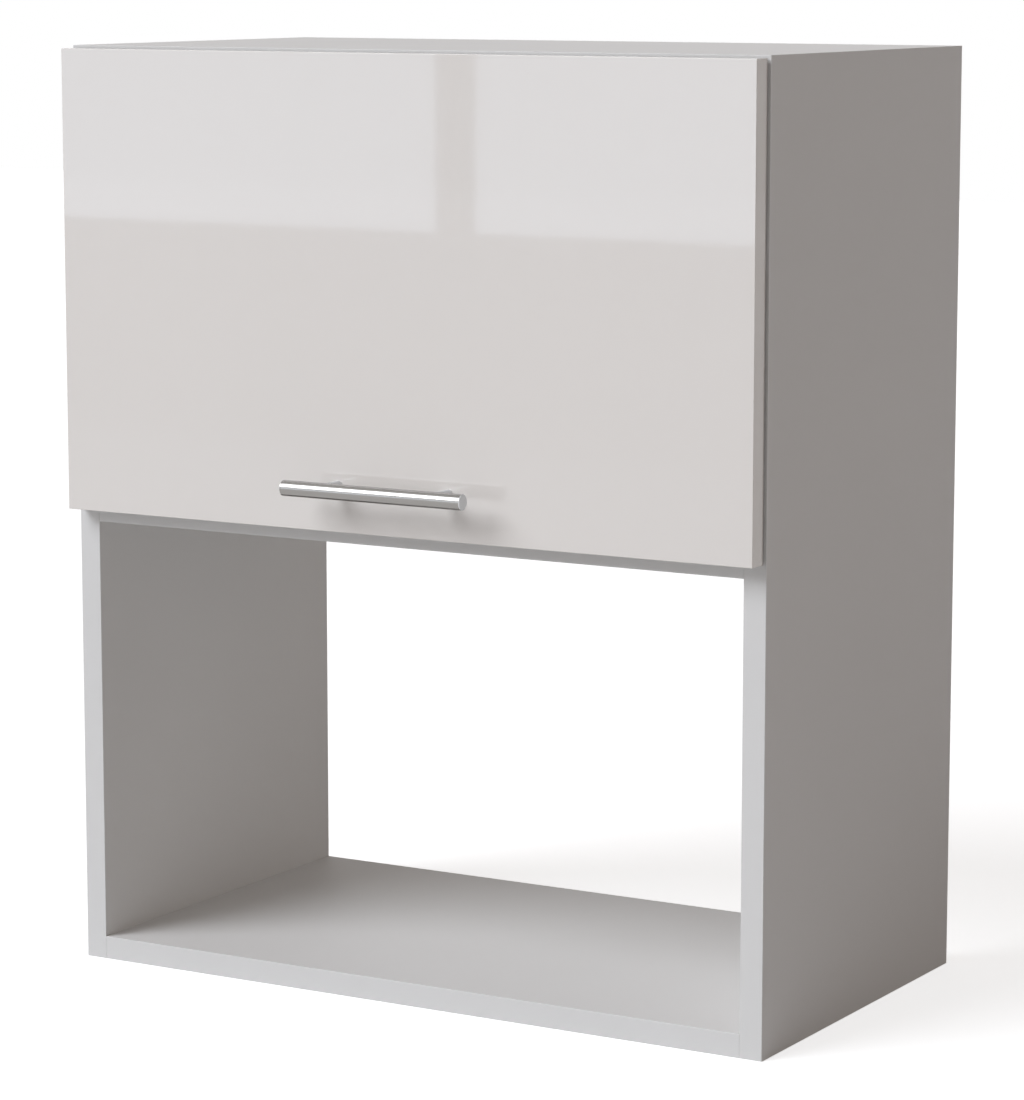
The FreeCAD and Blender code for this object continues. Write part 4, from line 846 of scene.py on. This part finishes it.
def strut_socket(centre, hand, up, reach, barrel, half, seat):
    """A barrel with its seat open outboard, and a neck coped to the barrel."""
    groove, bed, mouth = barrel - 2 * CLIP_WIRE, CLIP_BED * CLIP_WIRE, CLIP_MOUTH * CLIP_WIRE
    shell = np.vstack([[(0, -half)], arc((barrel - SOCKET_RIM, SOCKET_RIM - half), SOCKET_RIM, 270, 360),
                       [(barrel, -mouth), (groove, -bed), (groove, bed), (barrel, mouth)],
                       arc((barrel - SOCKET_RIM, half - SOCKET_RIM), SOCKET_RIM, 0, RIM_TURN),
                       [(seat, half), (seat, -seat), (0, -seat)]])
    points, quads = turned(shell)
    neck, neck_quads = coped_post(NECK * barrel, reach, barrel + SEAM)
    return joined([(stood(points, centre, np.cross(up, hand * X), up, hand * X), quads),
                   (stood(neck, centre + reach * up, X, np.cross(X, up), -up), neck_quads)])


print("a clip's ring is open by", 2 * CLIP_OPEN, "degrees")

# %% Studs, sockets and clips in place
for side, hand in HANDS.items():
    ball, along = strut_line(side)
    for end, up in (("base", along), ("rod", -along)):
        stud, node = f"strut_{end}_stud_{side}", f"strut_{end}_socket_{side}"
        points, quads = ball_stud(stud, hand)
        make_piece(stud + "_turned", points, quads, stud)
        centre, stud_half = box_centre(stud)
        centre = ball if end == "base" else np.array([ball[0], centre[1], centre[2]])
        corners = np.vstack(solids(node))
        height, radius = about_axis(corners, centre, X)
        half, reach = np.abs(height).max(), ((corners - centre) @ up).max()
        barrel = radius[np.abs(height) > BARREL_ENDS * half].max()
        points, quads = strut_socket(centre, hand, up, reach, barrel, half, stud_half[1] + PLAY)
        make_piece(node + "_moulded", points, quads, node)
        points, quads = wire_ring(barrel - CLIP_WIRE, CLIP_WIRE, CLIP_OPEN, 360 - CLIP_OPEN)
        placed = stood(points, centre, up, np.cross(X, up), X)
        make_piece(node + "_clip", placed, quads, node, beside_slot="plated_steel")

# %% [markdown]
# ## Door bumpers
# Two clear buttons stop the flap from knocking on the carcass. Cast in an open mould,
# they harden as flat domes, which is a circle's arc turned about the middle.

# %% Door bumpers
BUMPER_WALL = 0.25  # share of the height that is an upright wall
BUMPER_STEPS = 10
domes = []
for solid in solids("door_bumpers"):
    low, high = solid.min(axis=0), solid.max(axis=0)
    radius, height = (high[0] - low[0]) / 2, high[1] - low[1]
    rise = height - BUMPER_WALL * height
    bulge = (radius ** 2 + rise ** 2) / (2 * rise)
    spread = math.degrees(math.asin(radius / bulge))
    cap = arc((0, height - bulge), bulge, 90 - spread, 90, BUMPER_STEPS)
    points, quads = turned(np.vstack([[(0, 0), (radius, 0)], cap]))
    foot = ((low[0] + high[0]) / 2, low[1], (low[2] + high[2]) / 2)
    domes.append((stood(points, foot, X, -Z, Y), quads))
points, quads = joined(domes)
make_piece("door_bumpers_domed", points, quads, "door_bumpers")

# %% [markdown]
# ## Broken edges on pressed, cast and moulded pieces
# Sheet metal is tumbled after it is pressed, and a die or a mould has a small radius
# in every corner, so no edge of a bracket, hinge or housing is knife-sharp. These
# shapes are already right in the CAD model. A copy of the mesh is merged, its flat
# triangles are dissolved into whole faces, and a bevel rounds the outward edges only:
# an inward corner is where another piece seats, so it stays as it is.

# %% Broken edges
FLAT_ANGLE = math.radians(0.2)
EDGE_STEPS = 3
CUP_RIM = 1.6 * MM  # the ears deeper in the cup keep their close fit on the pin
CAST_EDGE_MM = 0.3
EDGE_MM = {"hinge_plate": 0.4, "hinge_arm": 0.3, "hanger_housing": 0.8, "hanger_hook": 0.4,
           "hanger_spindle": 0.3, "strut_side_bracket": 0.4, "strut_door_bracket": 0.4}


def broken_edges(node, width_mm, rim=math.inf):
    """Replaces a node by a copy whose outward edges are rounded, if within rim of its rear face."""
    shell = merged_copy(node)
    bmesh.ops.dissolve_limit(shell, angle_limit=FLAT_ANGLE, verts=shell.verts, edges=shell.edges)
    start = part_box(node)[1].y - rim
    outward = [edge for edge in shell.edges if edge.is_convex and edge.calc_face_angle(0) > SHARP_ANGLE
               and min(corner.co.y for corner in edge.verts) > start]
    bmesh.ops.bevel(shell, geom=outward, offset=width_mm * MM, segments=EDGE_STEPS, profile=0.5,
                    affect="EDGES", clamp_overlap=False)
    mesh = bpy.data.meshes.new(node + "_finished")
    shell.to_mesh(mesh)
    shell.free()
    return add_piece(node + "_finished", mesh, node)


for side in HANDS:
    for kind, width in EDGE_MM.items():
        broken_edges(f"{kind}_{side}", width)
    broken_edges(f"hinge_cup_{side}", CAST_EDGE_MM, CUP_RIM)
broken_edges("cam_locks", CAST_EDGE_MM)

# %% [markdown]
# ## Stage, light and camera
# The set is a pale floor under plain soft studio light: a warm ambient, a little
# brighter from the paper behind and dimmer from above, and one wide key in front, above
# and to the left, which leaves the right-hand side in shade. The background is white for
# the camera and for reflections only, so it adds no light to the cabinet. A gloss
# surface shows its gloss only if it has something to reflect, so two softboxes stand
# side by side where the flap's mirror image of the camera looks. The camera repeats the
# photograph's view, worked out from the corners of the carcass.

# %% World
AMBIENT_FRONT, AMBIENT_BEHIND, AMBIENT_ABOVE = "#9C928C", "#CFC5BF", "#686260"


def seen_directly(tree):
    """1 for what is seen, also mirrored or through clear pieces; 0 for light that falls on things."""
    path = add(tree, "LightPath").outputs
    seen = add(tree, "Math", {0: path["Is Camera Ray"], 1: path["Is Glossy Ray"]}, operation="MAXIMUM")
    return add(tree, "Math", {0: seen, 1: path["Is Transmission Ray"]}, operation="MAXIMUM")


world = bpy.data.worlds.new("studio")
bpy.context.scene.world = world
world.use_nodes = True
tree = world.node_tree
way = add(tree, "SeparateXYZ", {"Vector": add(tree, "TexCoord").outputs["Generated"]}).outputs
fade = add(tree, "Mix", {"Factor": way["Y"], "A": linear(AMBIENT_FRONT), "B": linear(AMBIENT_BEHIND)},
           data_type="RGBA")
fade = add(tree, "Mix", {"Factor": way["Z"], "A": fade, "B": linear(AMBIENT_ABOVE)}, data_type="RGBA")
dim = add(tree, "Background", {"Color": fade, "Strength": 1.0})
bright = add(tree, "Background", {"Color": WHITE, "Strength": 1.0})
both = add(tree, "MixShader", {0: seen_directly(tree), 1: dim, 2: bright})
connect(tree, tree.nodes["World Output"], {"Surface": both})
print("ambient from", AMBIENT_ABOVE, "to", AMBIENT_BEHIND)

# %% Floor
FLOOR_HALF = 9.0
FLOOR_LIFT = 0.7    # lifts the paper to white for the camera and keeps the shadow on it
floor_mesh = bpy.data.meshes.new("studio_floor")
floor_mesh.from_pydata([(-FLOOR_HALF, -FLOOR_HALF, 0), (FLOOR_HALF, -FLOOR_HALF, 0),
                        (FLOOR_HALF, FLOOR_HALF, 0), (-FLOOR_HALF, FLOOR_HALF, 0)], [], [(0, 1, 2, 3)])
floor = bpy.data.objects.new("studio_floor", floor_mesh)
bpy.context.scene.collection.objects.link(floor)
paper, tree, shader = surface("studio_paper", {"Base Color": linear("#C6C6C6"), "Roughness": 0.9,
                                               "Emission Color": WHITE})
lift = add(tree, "Math", {0: seen_directly(tree), 1: FLOOR_LIFT}, operation="MULTIPLY")
connect(tree, shader, {"Emission Strength": lift})
floor_mesh.materials.append(paper)
print("floor", 2 * FLOOR_HALF, "m square")

# %% Lamps
KEY_WAY = Vector((-0.445, -0.643, 0.624))
KEY_STRENGTH, KEY_SPREAD = 0.75, 38     # radiance on white, degrees
key = bpy.data.objects.new("key_light", bpy.data.lights.new("key_light", "SUN"))
key.data.energy = KEY_STRENGTH * math.pi
key.data.angle = math.radians(KEY_SPREAD)
key.data.color = linear("#F6F9FF")[:3]
key.rotation_euler = KEY_WAY.to_track_quat("Z", "Y").to_euler()
bpy.context.scene.collection.objects.link(key)

SOFTBOX_RADIANCE = 1.9
SOFTBOX_HEIGHT = 0.55
SOFTBOX_Y, SOFTBOX_Z = -3.14, 0.62
SOFTBOXES = {"softbox_wide": (-2.22, 0.89), "softbox_narrow": (-1.41, 0.58)}    # place along x, width
for name, (place, width) in SOFTBOXES.items():
    softbox = bpy.data.objects.new(name, bpy.data.lights.new(name, "AREA"))
    softbox.data.shape = "RECTANGLE"
    softbox.data.size = width
    softbox.data.size_y = SOFTBOX_HEIGHT
    softbox.data.energy = SOFTBOX_RADIANCE * math.pi * width * SOFTBOX_HEIGHT
    softbox.data.color = linear("#E2F0FF")[:3]
    softbox.location = (place, SOFTBOX_Y, SOFTBOX_Z)
    softbox.rotation_euler = Vector((0, -1, 0)).to_track_quat("Z", "Y").to_euler()
    softbox.visible_camera = False
    bpy.context.scene.collection.objects.link(softbox)
print("key from", np.round(KEY_WAY, 2).tolist(), "softboxes at", SOFTBOX_RADIANCE, "times white")

# %% Camera
CAMERA_PLACE = (1.526473, -2.610164, 0.790160)
CAMERA_TILT, CAMERA_TURN = 81.323, 30.375   # degrees from straight down, and about the vertical
SENSOR_MM, LENS_MM = 36, 128.08
FAR = 60.0
camera = bpy.data.objects.new("camera", bpy.data.cameras.new("camera"))
camera.location = CAMERA_PLACE
camera.rotation_euler = (math.radians(CAMERA_TILT), 0, math.radians(CAMERA_TURN))
camera.data.sensor_width = SENSOR_MM
camera.data.lens = LENS_MM
camera.data.clip_end = FAR
bpy.context.scene.collection.objects.link(camera)
bpy.context.scene.camera = camera
bpy.context.scene.view_settings.view_transform = "Standard"
print("camera", np.round(camera.location, 3).tolist(), "lens", LENS_MM, "mm")
